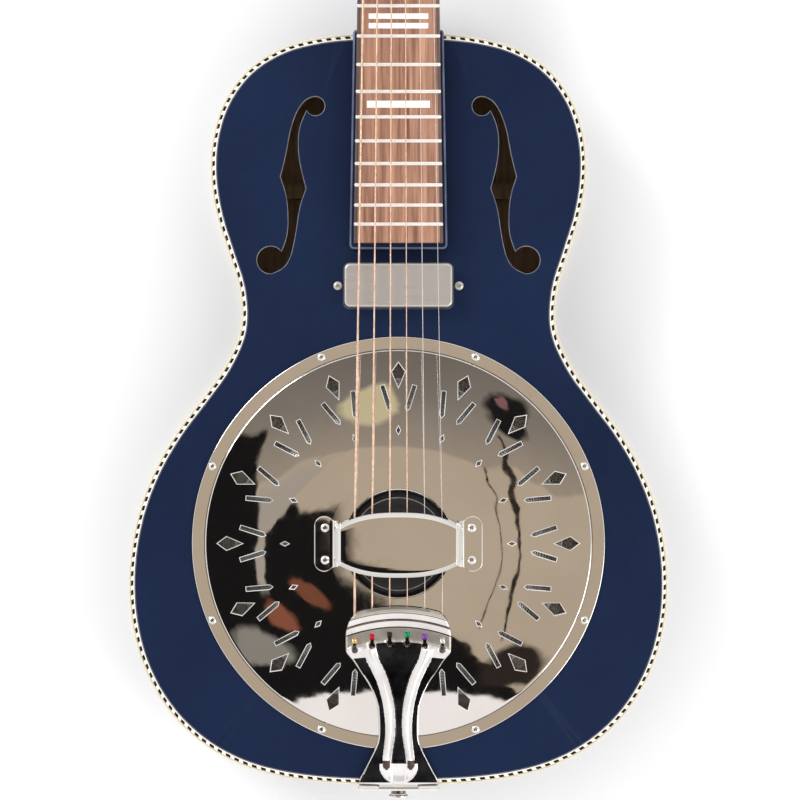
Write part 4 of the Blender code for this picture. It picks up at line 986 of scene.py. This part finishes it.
def build_nut_and_covers():
    low, high = corners("nut")
    half = high.x
    profile = [(low.y, low.z), (low.y, high.z - 0.5), (low.y + 0.4, high.z)]
    profile += [(high.y - 1.8, high.z - 0.2), (high.y - 0.8, high.z - 0.7), (high.y - 0.1, high.z - 1.7),
                (high.y, high.z - 2.4), (high.y, low.z)]
    rings = [[(x, y, min(z, high.z - drop)) for y, z in profile] for x, drop in
             ((-half, 0.7), (0.25 - half, 0.25), (0.8 - half, 0), (half - 0.8, 0), (half - 0.25, 0.25),
              (half, 0.7))]
    slots = []
    for number, radius in enumerate(STRING_RADII, 1):
        x, width, floor = string_x(number, NUT_SPACING), radius + 0.12, FRET_TOP + 0.3
        slots.append(tube([(x, low.y - 2, floor + width), (x, high.y + 2, floor + width)], width, 12))
        slots.append(block((x - width, x + width), (low.y - 1, high.y + 1), (floor + width, high.z + 2)))
    nut = skin(rings)
    for cutter in slots:
        nut = carved(nut, cutter)
    piece("nut_visual", nut, BONE, "ivory_plastic", nodes=["nut"])
    outline = refined([(8, 1.5), (9, 6), (7.5, 18), (3.5, 29), (0, 30), (-3.5, 29), (-7.5, 18), (-9, 6),
                       (-8, 1.5)], 5, sharp=radians(60))
    cover = layered(outline, ((0, SEAM), (0, 1.3), (0.2, 1.65), (0.6, 1.8)))
    piece("rod_cover_visual", cover.moved(HEAD_FRAME), PLASTIC, "black_plastic", nodes=["truss_rod_cover"])
    head = screw_head(1.7, 1.0, 0.8, 3, recess=0.6)
    for number, (x, y) in enumerate(((0, 4.5), (0, 25.5)), 1):
        piece(f"rod_cover_screw_{number}", head.moved((x, y, 1.8)).moved(HEAD_FRAME), CHROME, "chrome")


# ---------------------------------------------------------------- tuners

GEAR_Z = -17.8                 # middle of the gears, below the headstock's face
GEAR_TEETH, GEAR_TIP, GEAR_ROOT = 14, 4.9, 3.75
WORM_PITCH_RADIUS = 4.4        # of the gears, where the worms' threads run
WORM_OFFSET = 6.325            # from a post's axis to its worm's, towards the nut
POST_TOP, POST_RADIUS = 13.0, 3.0
POST_ROW_X, POST_STEP = 22.0, 36.0         # rows from the middle line, posts from each other


def post_places():
    """Place and side of each string post, in the headstock's frame."""
    places = {}
    for number in range(1, 7):
        local = HEAD_FRAME.inverted() @ joint_place(f"tuner_{number}_post")[0]
        places[number] = (local.x, local.y, 1 if local.x > 0 else -1)
    return places


def build_posts():
    """Waisted post with a string hole, its gear and the screw that holds the gear."""
    profile = [(2.2, -1.6), (POST_RADIUS, -1.3), (POST_RADIUS, 19.5), (2.95, 21), (2.62, 23), (2.55, 25),
               (2.62, 26.8), (2.95, 28.2), (POST_RADIUS, 28.8), (POST_RADIUS, 30.1), (2.8, 30.5),
               (2.2, POST_TOP - GEAR_Z)]
    post = carved(lathe(profile, 32), tube([(-4, 0, 28.0), (4, 0, 28.0)], 0.85, 14))
    steps = 6                              # to each tooth
    angles = full_turn(GEAR_TEETH * steps)
    # A tooth tip points at every odd multiple of pi / GEAR_TEETH
    wave = -np.cos(GEAR_TEETH * angles)
    radii = (GEAR_TIP + GEAR_ROOT) / 2 + (GEAR_TIP - GEAR_ROOT) / 2 * np.tanh(1.8 * wave) / np.tanh(1.8)
    rings = [at(size * polar(radii, angles), z)
             for size, z in ((0.94, -1.2), (1, -0.9), (1, 0.9), (0.94, 1.2))]
    boss = lathe(((2.0, -2.3), (2.4, -2.1), (2.4, -1.1)), 24)
    slot = block((-2.6, 2.6), (-0.3, 0.3), (-3, -1.8))
    gear = skin(rings) + carved(boss, slot)
    for number, (x, y, _) in post_places().items():
        seat = HEAD_FRAME @ Matrix.Translation((x, y, GEAR_Z))
        piece(f"post_visual_{number}", (post + gear.painted(1)).moved(seat), (SATIN, BRASS), "satin_nickel",
              body=f"post_{number}", nodes=[f"tuner_post_{number}"])


def build_buttons():
    """Worm shaft with a right-handed thread, collar and oval button."""
    pitch = 2 * pi * WORM_PITCH_RADIUS / GEAR_TEETH
    angles = full_turn(24)
    rings = []
    for along in np.arange(-5.0, 5.01, pitch / 12):
        fade = min(1.0, (5.05 - abs(along)) / 0.8)
        thread = 0.5 + 0.5 * np.cos(angles - 2 * pi * along / pitch + pi / 2)
        radii = 1.2 + 0.75 * fade * np.clip(1.6 * thread - 0.4, 0, 1)
        rings.append(at(polar(radii, angles), along))
    start = [at(circle(radius, 24), along) for radius, along in ((1.0, -8.5), (1.2, -8.3), (1.2, -5.2))]
    stations = ((5.2, 1.2, 1.2), (15.4, 1.2, 1.2), (15.5, 2.4, 2.4), (15.8, 2.6, 2.6), (18.2, 2.6, 2.6),
                (18.5, 2.3, 2.5), (19.2, 2.4, 3.6), (20.3, 3.1, 5.6), (22.0, 3.6, 7.1), (24.5, 3.8, 7.8),
                (27.0, 3.7, 7.7), (29.2, 3.2, 6.8), (30.5, 2.4, 5.3), (31.0, 1.4, 3.6))
    finish = [[(wide * cos(a), tall * sin(a), along) for a in angles] for along, wide, tall in stations]
    worm = skin(start + rings + finish)
    for number, (x, _, side) in post_places().items():
        axis = HEAD_FRAME.inverted() @ joint_place(f"tuner_{number}_button")[0]
        seat = HEAD_FRAME @ placed((x, axis.y, axis.z), "Y", side * pi / 2)
        piece(f"button_visual_{number}", worm.moved(seat), SATIN, "satin_nickel",
              body=f"button_{number}", nodes=[f"tuner_button_{number}"])


def build_tuner_plates():
    """Back plates with lugs and screws, and the bushings round the posts on the face."""
    low, high = -HEAD_THICKNESS - 1.3, -HEAD_THICKNESS - SEAM
    past_first, past_last = 14, 12         # how far a plate runs past its end posts
    screw = screw_head(1.8, 1.1, 0.9, 6, recess=0.6).moved(around("X", pi))
    for side, name in ((1, "treble"), (-1, "bass")):
        posts = sorted((x, y) for x, y, where in post_places().values() if where == side)
        first, last = min(y for _, y in posts), max(y for _, y in posts)
        start, end = first - past_first, last + past_last
        loop = rounded(8.5, (end - start) / 2, 3.0) + (side * POST_ROW_X, (start + end) / 2)
        shape = layered(loop, ((0.3, low), (0, low + 0.3), (0, high)))
        bores = []
        for x, y in posts:
            bores.append(rod(3.4, low - 1, high + 1, 24).moved((x, y, 0)))
            for lug_x in (x - 7.2, x + 7.2):
                shape = joined(shape, lug().moved((lug_x, y - WORM_OFFSET, 0)))
            bores.append(rod(1.4, -9, 9, 20).moved(placed((x, y - WORM_OFFSET, GEAR_Z), "Y", pi / 2)))
        shape = carved(shape, together(bores))
        piece(f"tuner_plate_{name}_visual", shape.moved(HEAD_FRAME), SATIN, "satin_nickel",
              nodes=[f"tuner_plate_{name}"])
        spots = (start + 2.5, first + 11, first + POST_STEP + 11, end - 2.5)
        screws = together(screw.moved((side * POST_ROW_X, y, low)) for y in spots)
        piece(f"tuner_plate_screws_{name}", screws.moved(HEAD_FRAME), SATIN, "satin_nickel")
    bushing = lathe(((3.45, -0.5), (4.9, -0.5), (4.9, 0.0), (5.2, 0.05), (5.1, 0.7), (4.3, 1.3), (3.8, 1.4),
                     (3.45, 1.2)), 36, cyclic=True)
    for number, (x, y, _) in post_places().items():
        piece(f"bushing_{number}", bushing.moved((x, y, 0)).moved(HEAD_FRAME), SATIN, "satin_nickel")


def lug():
    """Upright ear with a round end that carries a worm shaft."""
    high = -HEAD_THICKNESS - 1.0
    side = [(2.8, high), (2.8, GEAR_Z)]
    side += [(2.8 * cos(a), GEAR_Z - 2.6 * sin(a)) for a in np.linspace(0.3, pi - 0.3, 9)]
    side += [(-2.8, GEAR_Z), (-2.8, high)]
    return skin([[(x, y * size, z) for y, z in side] for x, size in
                 ((-0.7, 0.94), (-0.5, 1), (0.5, 1), (0.7, 0.94))])


# ---------------------------------------------------------------- strings

BALL_Y, KEYHOLE_STEP, CROWN_SAG, CROWN_FRONT = -57.4, 6.0, 5.4, -39.7


def crown_drop(x):
    """How far the tailpiece's curved features lie behind their place on the centre line."""
    return CROWN_SAG * (x / 32) ** 2


def build_strings():
    """Strings from the keyholes to their posts, each with its ball and the loop that holds it."""
    for number, (x, radius) in enumerate(string_places(), 1):
        ball_y, front, run = BALL_Y - crown_drop(x), CROWN_FRONT - crown_drop(x), TOP + 12.4
        over_saddle, over_nut = SADDLE_TOP + 0.2 + radius, FRET_TOP + 0.42 + radius
        nut_x = string_x(number, NUT_SPACING)
        turns = post_wraps(number, radius)
        corner_points = [(x, ball_y, TOP + 17.2), (x, ball_y, run + 0.3), (x, ball_y + 1.2, run),
                         (x, front - 0.5, run), (x, 0, over_saddle), (nut_x, SCALE_LENGTH + 0.3, over_nut),
                         (nut_x, NUT_BACK - 1.2, over_nut), turns[0]]
        path = bent(corner_points, 0.8) + turns[1:]
        piece(f"string_visual_{number}", tube(path, radius, 12), BRONZE if number > 2 else PLAIN_STRING,
              "wound_bronze" if number > 2 else "plain_steel", nodes=[f"string_{number}"])
        ball = lathe(((0.8, -1.6), (1.5, -1.6), (1.95, -1.35), (2.05, -1.0), (1.75, -0.5), (1.7, 0),
                      (1.75, 0.5), (2.05, 1.0), (1.95, 1.35), (1.5, 1.6), (0.8, 1.6)), 28, cyclic=True)
        ball_z = TOP + 18.0
        piece(f"ball_end_{number}", ball.moved(placed((x, ball_y, ball_z), "Y", pi / 2)),
              BALL_METALS[number - 1], "wound_bronze")
        lock = [(x + 0.9 * cos(a), ball_y + 0.12 * a - 1, ball_z + sin(a))
                for a in np.arange(0, 4 * pi, pi / 8)]
        piece(f"ball_loop_{number}", tube(lock, min(radius, 0.3), 8), STEEL, "plain_steel")


def post_wraps(number, radius):
    """The turns that a string takes down its post, ending at the post's surface."""
    x, y, side = post_places()[number]
    steps, turns, first_z = 32, 1.7, 7.4
    circle_radius, pitch = POST_RADIUS + radius + 0.1, 2 * radius + 0.1
    dx, dy = side * (string_x(number, NUT_SPACING) - x), y
    start = atan2(dy, -dx) - np.arcsin(circle_radius / hypot(dx, dy)) - pi / 2
    points = []
    for step in range(int(turns * steps) + 1):
        angle = start + 2 * pi * step / steps
        place = (x - side * circle_radius * cos(angle), y + circle_radius * sin(angle),
                 first_z - pitch * step / steps)
        points.append(HEAD_FRAME @ Vector(place))
    last = (x - side * 2.2 * cos(angle + 0.5), y + 2.2 * sin(angle + 0.5), first_z - pitch * turns)
    return points + [HEAD_FRAME @ Vector(last)]


# ---------------------------------------------------------------- tailpiece

PIN_RADIUS, PIN_BORE, KNUCKLE_RADIUS = 0.85, 1.0, 1.7
HINGE_Z = corners("tailpiece_hinge_pin")[0].z + PIN_RADIUS
HINGE_Y = corners("tailpiece_hinge_pin")[0].y + PIN_RADIUS
BOSS_Y, BOSS_RADIUS, FLANGE_Y = -142.3, 12.2, -154.0


def step(value, low, high):
    """Smooth step from 0 to 1."""
    t = np.clip((value - low) / (high - low), 0, 1)
    return t * t * (3 - 2 * t)


def tailpiece_columns():
    """y, height over the top, rib's height, inner and outer edge, edge's drop, half width, sag."""
    return eased(((-39.7, 14.4, 0, 13, 21, 0.9, 26.5, 1), (-42, 15.4, 0, 13, 21, 1.5, 29.5, 1),
                  (-44, 15.4, 0, 14, 24, 1.8, 31.2, 1), (-47, 15.4, 0, 15, 26, 2.2, 32.6, 1),
                  (-51.5, 15.4, 0, 15, 26, 2.4, 33.6, 1), (-56, 15.2, 0, 15, 25, 2.4, 33.7, 1),
                  (-62.5, 14.8, 0, 14.8, 22.8, 2.4, 33.5, 0.9), (-67, 14.2, 1.6, 14.4, 22.4, 2.6, 32.6, 0.6),
                  (-74, 13.0, 2.5, 12.3, 20.6, 2.6, 28.8, 0.25), (-81, 12.2, 2.6, 8.9, 17.2, 2.6, 25, 0),
                  (-90, 11.4, 2.6, 5.8, 13.4, 2.6, 19, 0), (-101, 10.4, 2.6, 3.2, 10.4, 2.4, 14.3, 0),
                  (-110, 9.4, 2.6, 2.3, 9.0, 2.3, 13.1, 0), (-119, 8.2, 2.6, 2.2, 8.5, 2.2, 12.8, 0),
                  (-128, 6.8, 2.6, 3.2, 9.0, 1.8, 13.8, 0), (-137, 5.4, 2.2, 4.5, 10, 1.2, 17.8, 0),
                  (-146, 4.0, 0.6, 4.9, 10.4, 0.6, 22.2, 0), (-150, 3.4, 0, 5, 10.5, 0.3, 24.2, 0),
                  (FLANGE_Y, 3.0, 0, 5, 10.5, 0.1, 25.5, 0)), 9)


# The crown's lip, its two sloping bands and the sunk ledge: distance down the tailpiece and rise
CROWN_STEPS = ((39.7, 0), (40.6, 0.9), (41.6, 1.5), (42.4, 1.6), (43.0, 1.45), (47.4, -0.25), (48.2, -0.3),
               (48.9, 0.35), (49.2, 0.3), (52.2, -0.75), (52.8, -0.8), (53.3, -0.7), (61.4, -0.6), (62.0, 0))


def keyhole_places():
    for number in range(1, 7):
        x = string_x(number, SADDLE_SPACING)
        yield x, BALL_Y - KEYHOLE_STEP - crown_drop(x)


def tailpiece_height(s, x, y, row):
    """Height over the top of the pressed sheet at a station s and a point (x, y) of it."""
    _, sheet, rib, rib_in, rib_out, edge_drop, half, _ = row
    z = sheet + np.zeros(len(x))
    reach = np.abs(x)
    z += np.interp(-s, *zip(*CROWN_STEPS))
    across = np.clip(np.abs(reach - (rib_in + rib_out) / 2) / (rib_out - rib_in) * 2, 0, 1)
    z += rib * (1 - across ** 1.4)
    z -= 0.5 * step(-s, 64, 69) * (1 - step(reach, rib_in - 1.2, rib_in))
    for hole_x, hole_y in keyhole_places():
        z += 0.45 * np.exp(-((np.hypot(x - hole_x, y - hole_y) - 2.75) / 0.45) ** 2)
    boss = np.hypot(x, y - BOSS_Y)
    z += (0.9 - 0.7 * np.clip(1 - (boss / BOSS_RADIUS) ** 2, 0, 1)) \
        * (1 - step(boss, BOSS_RADIUS - 1.2, BOSS_RADIUS)) * step(-s, 138, 141)
    z -= edge_drop * (1 - np.sqrt(np.clip(1 - np.clip((reach - half + 1.3) / 1.3, 0, 1) ** 2, 0, 1)))
    return z


def tailpiece_paint(s, x, y, row):
    """1 for the sunk fields, painted as a dark reflection, 2 for the brown windows, painted shade,
    3 for the bands, ribs and boss, painted as a bright reflection, 4 for the crown's lip and the ledge that
    holds the ball ends, painted as a warm reflection, 5 for the grooves between the bands, painted shade."""
    _, _, _, rib_in, rib_out, _, half, _ = row
    reach = abs(x)
    if 43.8 < -s < 47.3 or 49.0 < -s < 52.2:
        return 3
    if 43.3 <= -s < 43.8 or 47.3 <= -s < 48.4 or 52.2 <= -s < 53.2:
        return 5
    if s > -62.3:
        return 4 if s < -53.2 or s > -43.3 else 0
    if s < -138.9 and hypot((reach - 7.7) / 2.3, max(-142.4 - s, 0) / 2.2) < 1:
        return 2
    if rib_in < reach < rib_out and s > -141 or hypot(x, y - BOSS_Y) < BOSS_RADIUS and s < -140.2:
        return 3
    if s < -153.4 or s > -71.5 and reach >= rib_out:
        return 3
    return 1 if reach < half - 1.0 else 0


def build_tailpiece():
    rows = tailpiece_columns()
    thickness, columns = 1.1, 141
    across = np.linspace(-1, 1, columns)
    rings, paints = [], []
    for row in rows:
        x = across * row[6]
        y = row[0] - row[7] * crown_drop(x)
        z = TOP + tailpiece_height(row[0], x, y, row)
        upper = list(zip(x, y, z))
        rings.append(upper + [(px, py, pz - thickness) for px, py, pz in upper[::-1]])
        paints.append([tailpiece_paint(row[0], px, py, row) for px, py in zip(x, y)])
    tongue = HINGE_Z + 1.55
    for y in (FLANGE_Y - 0.8, HINGE_Y + 0.1):
        x = across * 12.3
        upper = [(px, y, tongue) for px in x]
        rings.append(upper + [(px, y, tongue - thickness) for px, *_ in upper[::-1]])
        paints.append([3] * columns)
    hinge = placed((0, HINGE_Y, HINGE_Z), "Y", pi / 2)
    sheet = skin(rings, paint=lambda i, k: paints[i][k] if k < columns - 1 else 0)
    shape = joined(sheet, rod(KNUCKLE_RADIUS, -12.5, 12.5, 32).moved(hinge))
    slot = KEYHOLE_STEP + 1.3
    keyhole = [(2.1 * cos(a), 2.1 * sin(a)) for a in np.linspace(radians(122), radians(418), 24)]
    keyhole += [(1.0, slot - 0.6), (0.5, slot), (-0.5, slot), (-1.0, slot - 0.6)]
    cutters = [rod(PIN_BORE, -30, 30, 20).moved(hinge)]
    for place in keyhole_places():
        loop = np.array(keyhole) + place
        cutters.append(skin([at(loop, TOP + z) for z in (8, 20)]))
    # Beside plain chrome, the sheet carries painted dark, bright and warm reflections and painted shade in
    # the windows and grooves; the hinge tongue is painted as a bright reflection.
    looks = (CHROME, DARK_REFLECTION_CHROME, WINDOW, BRIGHT_REFLECTION_CHROME, WARM_REFLECTION_CHROME, DARK_NICKEL_AND_SHADE)
    piece("tailpiece_visual", carved(shape, together(cutters)), looks, "chrome", nodes=["tailpiece"],
          sharp=50)


def build_tail_hardware():
    """Bracket with its hinge knuckles, the hinge pin with eased ends, and the end-pin jack."""
    low, high = corners("tail_bracket")
    front, back = high.y, TAIL_Y - 2.0
    loop = rounded(high.x, (HINGE_Z - 2.0 - low.z) / 2, 4.0, 6)
    plate_middle = (HINGE_Z - 2.0 + low.z) / 2
    rings = [[(x, y, z + plate_middle) for x, z in offset(loop, depth)] for depth, y in
             ((0, front), (0, back + 0.35), (0.35, back))]
    shape = skin(rings)
    for side in (-1, 1):
        hinge = placed((0, HINGE_Y, HINGE_Z), "Y", side * pi / 2)
        profile = ((1.45, 12.75), (KNUCKLE_RADIUS, 13.0), (KNUCKLE_RADIUS, 25.2), (1.45, 25.5))
        knuckle = lathe(profile, 32).moved(hinge)
        web = block(sorted((side * 12.9, side * 25.3)), (back + 0.05, front - 0.05),
                    (HINGE_Z - 3.6, HINGE_Z - 0.8))
        shape = joined(joined(shape, web), knuckle)
        shape = carved(shape, rod(PIN_BORE, 11, 27, 20).moved(hinge))
    shape = carved(shape, rod(JACK_BORE, -1, 5, 32).moved(JACK_FRAME))
    # The whole bracket is painted as a bright reflection.
    piece("tail_bracket_visual", shape, BRIGHT_REFLECTION_CHROME, "chrome", nodes=["tail_bracket"])
    reach = corners("tailpiece_hinge_pin")[1].x
    profile = ((0.5, -reach), (PIN_RADIUS, 0.25 - reach), (PIN_RADIUS, reach - 0.25), (0.5, reach))
    hinge = placed((0, HINGE_Y, HINGE_Z), "Y", pi / 2)
    piece("hinge_pin_visual", lathe(profile, 20).moved(hinge), STEEL, "chrome",
          nodes=["tailpiece_hinge_pin"])
    end = TAIL_Y - corners("endpin_jack")[0].y
    jack = ((5.9, -42), (5.9, -3.8), (4.75, -3.8), (4.75, end - 3.0), (4.9, end - 2.4), (5.6, end - 1.7),
            (6.3, end - 1.3), (6.45, end - 1.0), (6.35, end - 0.3), (5.9, end), (4.2, end),
            (3.8, end - 0.3), (3.3, end - 0.9), (3.3, -24))
    pin = lathe(jack, 48, paint=lambda i, k: 1 if i in (2, 3, 5) else 0)
    piece("endpin_jack_visual", pin.moved(JACK_FRAME), (CHROME, DARK_NICKEL_AND_SHADE), "chrome", nodes=["endpin_jack"])


# ---------------------------------------------------------------- pickup

def build_pickup():
    """Satin cover, black base, two height screws and the springs round them."""
    low, high = corners("pickup_cover")
    half_x, half_y, _ = half_size_of("pickup_cover")
    seat = (0, PICKUP_Y, 0)
    fillet = 1.6
    levels = [(1.0, high.z - 1.0), (1.0, low.z), (0, low.z)]
    levels += [(fillet * (1 - cos(a)), high.z - fillet * (1 - sin(a))) for a in np.linspace(0, pi / 2, 7)]
    rings = [at(rounded(half_x - depth, half_y - depth, max(3.5 - 0.6 * depth, 1), 8), z)
             for depth, z in levels]
    piece("pickup_cover_visual", skin(rings).moved(seat), SATIN, "satin_nickel", body="pickup",
          nodes=["pickup_cover"])
    base = corners("pickup_base")[0].z
    ear = base + 1.5
    levels = ((0.3, base), (0, base + 0.3), (0, ear - 0.3), (0.3, ear))
    plate_x, plate_y, coil_x, coil_y = 43, 12, 31.1, 11        # half sizes
    plate_shape = skin([at(rounded(plate_x - depth, plate_y - depth, 4 - depth), z)
                        for depth, z in levels])
    coil = skin([at(rounded(coil_x - depth, coil_y - depth, 4), z) for depth, z in
                 ((0, ear), (0, ear + 1), (1, ear + 1.2), (1, high.z - 4.4), (0, high.z - 4.2),
                  (0, high.z - 3))])
    screws = {side: f"pickup_screw_{side}" for side in ("bass", "treble")}
    holes = together(rod(1.6, -4, 4, 20).moved((centre_of(node).x, 0, base)) for node in screws.values())
    piece("pickup_base_visual", carved(joined(plate_shape, coil), holes).moved(seat), PLASTIC,
          "black_plastic", body="pickup", nodes=["pickup_base"])
    for side, node in screws.items():
        x, under_head = centre_of(node).x, TOP + SEAM
        shape = screw_head(half_size_of(node).x, 1.7, 1.3, under_head - corners(node)[0].z, recess=0.8)
        shape = shape.moved(placed((x, PICKUP_Y, under_head), "Z", 0.5))
        piece(f"{node}_visual", shape, SATIN, "satin_nickel", body=f"height_screw_{side}", nodes=[node])
        build_spring(side, x, ear, TOP_LOW)


def build_spring(side, x, low, high):
    """Coil between the base's ear and the top."""
    wire, radius, turns = 0.3, 2.2, 5
    path = [(x + radius * cos(a), PICKUP_Y + radius * sin(a),
             low + wire + (high - low - 2 * wire) * a / (2 * pi * turns))
            for a in np.linspace(0, 2 * pi * turns, 24 * turns)]
    mesh = tube(path, wire, 8).mesh(f"height_spring_{side}")
    mesh.shade_smooth()
    mesh.materials.append(STEEL)
    spring = added(f"height_spring_{side}", mesh)
    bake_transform(spring)


# ---------------------------------------------------------------- carried-over nodes, light and camera

def dress_inner_nodes():
    """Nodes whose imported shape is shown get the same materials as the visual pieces."""
    looks = {MAHOGANY: ("neck_block", "tail_block", "top_lining", "back_lining"),
             BARE_WOOD: ("top_brace", "back_brace_upper", "back_brace_lower"),
             MAPLE: ("sound_well",), STEEL: ("biscuit_screw", "truss_rod")}
    for material, nodes in looks.items():
        for node in nodes:
            materials = frame["nodes"][node].data.materials
            materials.clear()
            materials.append(material)


def build_floor():
    reach, level = 20.0, -0.001            # metres
    mesh = bpy.data.meshes.new("floor")
    mesh.from_pydata([(x * reach, y * reach, level) for x, y in ((-1, -1), (1, -1), (1, 1), (-1, 1))],
                     [], [(0, 1, 2, 3)])
    mesh.materials.append(look("pale_floor", ((0.96, 0.96, 0.96), (0.98, 0.98, 0.98)), (0.8, 0.9), scale=2))
    added("floor", mesh)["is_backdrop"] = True


class Value:
    """Number in the world's shader that adds and multiplies like a plain one."""

    def __init__(self, tree, socket):
        self.tree, self.socket = tree, socket

    def apply(self, operation, *others):
        values = [value.socket if isinstance(value, Value) else value for value in (self, *others)]
        node = add_node(self.tree, "Math", dict(enumerate(values)), operation=operation)
        return Value(self.tree, node.outputs[0])

    def __add__(self, other):
        return self.apply("ADD", other)

    def __sub__(self, other):
        return self.apply("SUBTRACT", other)

    def __mul__(self, other):
        return self.apply("MULTIPLY", other)

    def __truediv__(self, other):
        return self.apply("DIVIDE", other)

    def at_most(self, other):
        return self.apply("MINIMUM", other)

    def at_least(self, other):
        return self.apply("MAXIMUM", other)

    def along(self, low, high):
        """Rises from 0 to 1 between two values."""
        sockets = {"Value": self.socket, "From Min": low, "From Max": high}
        return Value(self.tree, add_node(self.tree, "MapRange", sockets).outputs[0])


def distance(x, y):
    return (x * x + y * y).apply("SQRT")


def mixed(factor, a, b):
    """Colour between two colours, each a socket or three numbers."""
    node = add_node(factor.tree, "Mix", {"Factor": factor.socket}, data_type="RGBA")
    for colour, socket in zip((a, b), node.inputs[6:8]):
        if isinstance(colour, tuple):
            socket.default_value = (*colour, 1)
        else:
            factor.tree.links.new(colour, socket)
    return node.outputs[2]


def build_studio():
    """Room as mirrors see it: white walls, and overhead a warm ceiling with a dark area towards the
    bass side and the tail, a lamp and a white window behind the tail.

    The fields overhead follow the reflections in the photographed chrome in place, rough size and
    colour. The dark area, its pale strip and the two brown patches stand where the chrome reflects
    the person who took the picture."""
    world = bpy.data.worlds.new("studio")
    world.use_nodes = True
    tree = world.node_tree
    direction = add_node(tree, "TexCoord", {}).outputs["Generated"]
    x, y, z = (Value(tree, out) for out in add_node(tree, "SeparateXYZ", {"Vector": direction}).outputs)

    def noise(scale, detail, depth):
        node = add_node(tree, "TexNoise", {"Vector": direction, "Scale": scale, "Detail": detail})
        return (Value(tree, node.outputs["Fac"]) - 0.5) * depth

    def ellipse(spot, size, edge=0.14):
        far = distance((x - spot[0]) / size[0], (y - spot[1]) / size[1])
        return far.along(1 + edge, 1 - edge)

    def stripe(place, width, low, high):
        near = (x - place).apply("ABSOLUTE").along(width, 0.6 * width)
        return near * (y.along(low, low + 0.01) * y.along(high, high - 0.01))

    # Edges waver, except straight above, where the flat hand rest and flange look
    calm = distance(x, y + 0.046).along(0.02, 0.12)
    warp, fine = noise(9.0, 2.0, 0.07) * calm, noise(30.0, 3.0, 0.025) * calm
    x, y = x + (warp + fine), y + (warp - fine)
    beige = ramp(tree, (y + 0.5).socket, ((0.0, (0.47, 0.38, 0.29)), (0.42, (0.52, 0.425, 0.32)),
                                          (0.553, (0.50, 0.405, 0.305)), (0.557, (0.36, 0.30, 0.24)),
                                          (0.68, (0.23, 0.20, 0.17)), (1.0, (0.11, 0.095, 0.085))))
    # Dark area on the bass side, cut off by a slanting edge, with a pale strip in it
    left = x.along(-0.222, -0.228) * y.along(0.160, 0.150)
    inset = ((y + 0.056).at_most(0) * -2.0).at_most(0.016)
    limit = (y + 0.08).at_most(0) * -0.9 + (inset - 0.020)
    low = (x * 0.3 + y).along(-0.037, -0.041) * (x - limit).along(0.002, -0.002)
    ceiling = mixed(left.at_least(low), beige, (0.010, 0.009, 0.009))
    pale = (y + 0.03).at_least(0) * 1.6 - 0.192
    waist = (x - pale).along(0.002, -0.002) * (x.along(-0.218, -0.213) * y.along(-0.125, -0.10))
    ceiling = mixed(waist * y.along(0.06, 0.03), ceiling, (0.42, 0.37, 0.31))
    for spot, size, colour in (((-0.10, -0.10), (0.04, 0.012), (0.20, 0.07, 0.04)),
                               ((-0.175, -0.15), (0.04, 0.022), (0.26, 0.09, 0.05)),
                               ((-0.235, -0.22), (0.07, 0.034), (0.28, 0.26, 0.23)),
                               ((0.20, -0.25), (0.07, 0.045), (0.03, 0.022, 0.018)),
                               ((0.185, 0.17), (0.045, 0.05), (0.012, 0.011, 0.011)),
                               ((0.175, 0.195), (0.012, 0.018), (0.24, 0.12, 0.12)),
                               ((-0.045, 0.165), (0.040, 0.052), (0.62, 0.54, 0.34))):
        ceiling = mixed(ellipse(spot, size), ceiling, colour)
    for place, width, low, high in ((0.150, 0.0042, -0.20, 0.12), (0.108, 0.0022, -0.16, 0.06)):
        ceiling = mixed(stripe(place, width, low, high), ceiling, (0.03, 0.022, 0.018))
    window = x * x * 1.5 + (y - warp * 0.8)
    ceiling = mixed(window.along(-0.272, -0.279), ceiling, (1.0, 0.95, 0.94))
    walls = ramp(tree, z.socket, ((0.0, (0.75, 0.74, 0.72)), (0.35, (1.0, 0.99, 0.97)),
                                  (0.90, (1.0, 0.98, 0.95))))
    seen = mixed(z.along(0.86, 0.90), walls, ceiling)
    mirrored = Value(tree, add_node(tree, "LightPath", {}).outputs["Is Glossy Ray"])
    tree.links.new(mixed(mirrored, (1.02, 1.02, 1.02), seen), tree.nodes["Background"].inputs["Color"])
    bpy.context.scene.world = world
    bpy.context.scene.view_settings.view_transform = "Standard"


def add_softbox(name, place, size, power):
    light = bpy.data.lights.new(name, "AREA")
    light.shape, light.size, light.energy = "SQUARE", size, power
    item = added(name, light)
    item.location = place
    item.rotation_euler = (Vector((0, 0.15, 0.08)) - Vector(place)).to_track_quat("-Z", "Y").to_euler()
    item.visible_camera = False


def add_camera():
    """Straight above the body, from about two metres."""
    camera = bpy.data.cameras.new("camera")
    camera.lens = 140.0
    camera.clip_start, camera.clip_end = 0.05, 50.0
    item = added("camera", camera)
    item.location = (0.001, 0.092, 2.09)
    bpy.context.scene.camera = item


def build_scene():
    add_camera()
    build_floor()
    build_studio()
    add_softbox("key_light", (-1.6, 1.4, 1.9), 1.2, 26)
    add_softbox("fill_light", (1.9, -0.9, 1.6), 1.4, 18)
    build_soundboard()
    build_back_and_sides()
    build_bindings()
    build_resonator()
    build_coverplate()
    build_cover_screws()
    build_hand_rest()
    build_neck()
    build_fingerboard()
    build_nut_and_covers()
    build_posts()
    build_buttons()
    build_tuner_plates()
    build_strings()
    build_tailpiece()
    build_tail_hardware()
    build_pickup()
    dress_inner_nodes()


build_scene()
[[list(corner) for corner in box] for box in (CAD_BOX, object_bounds())]
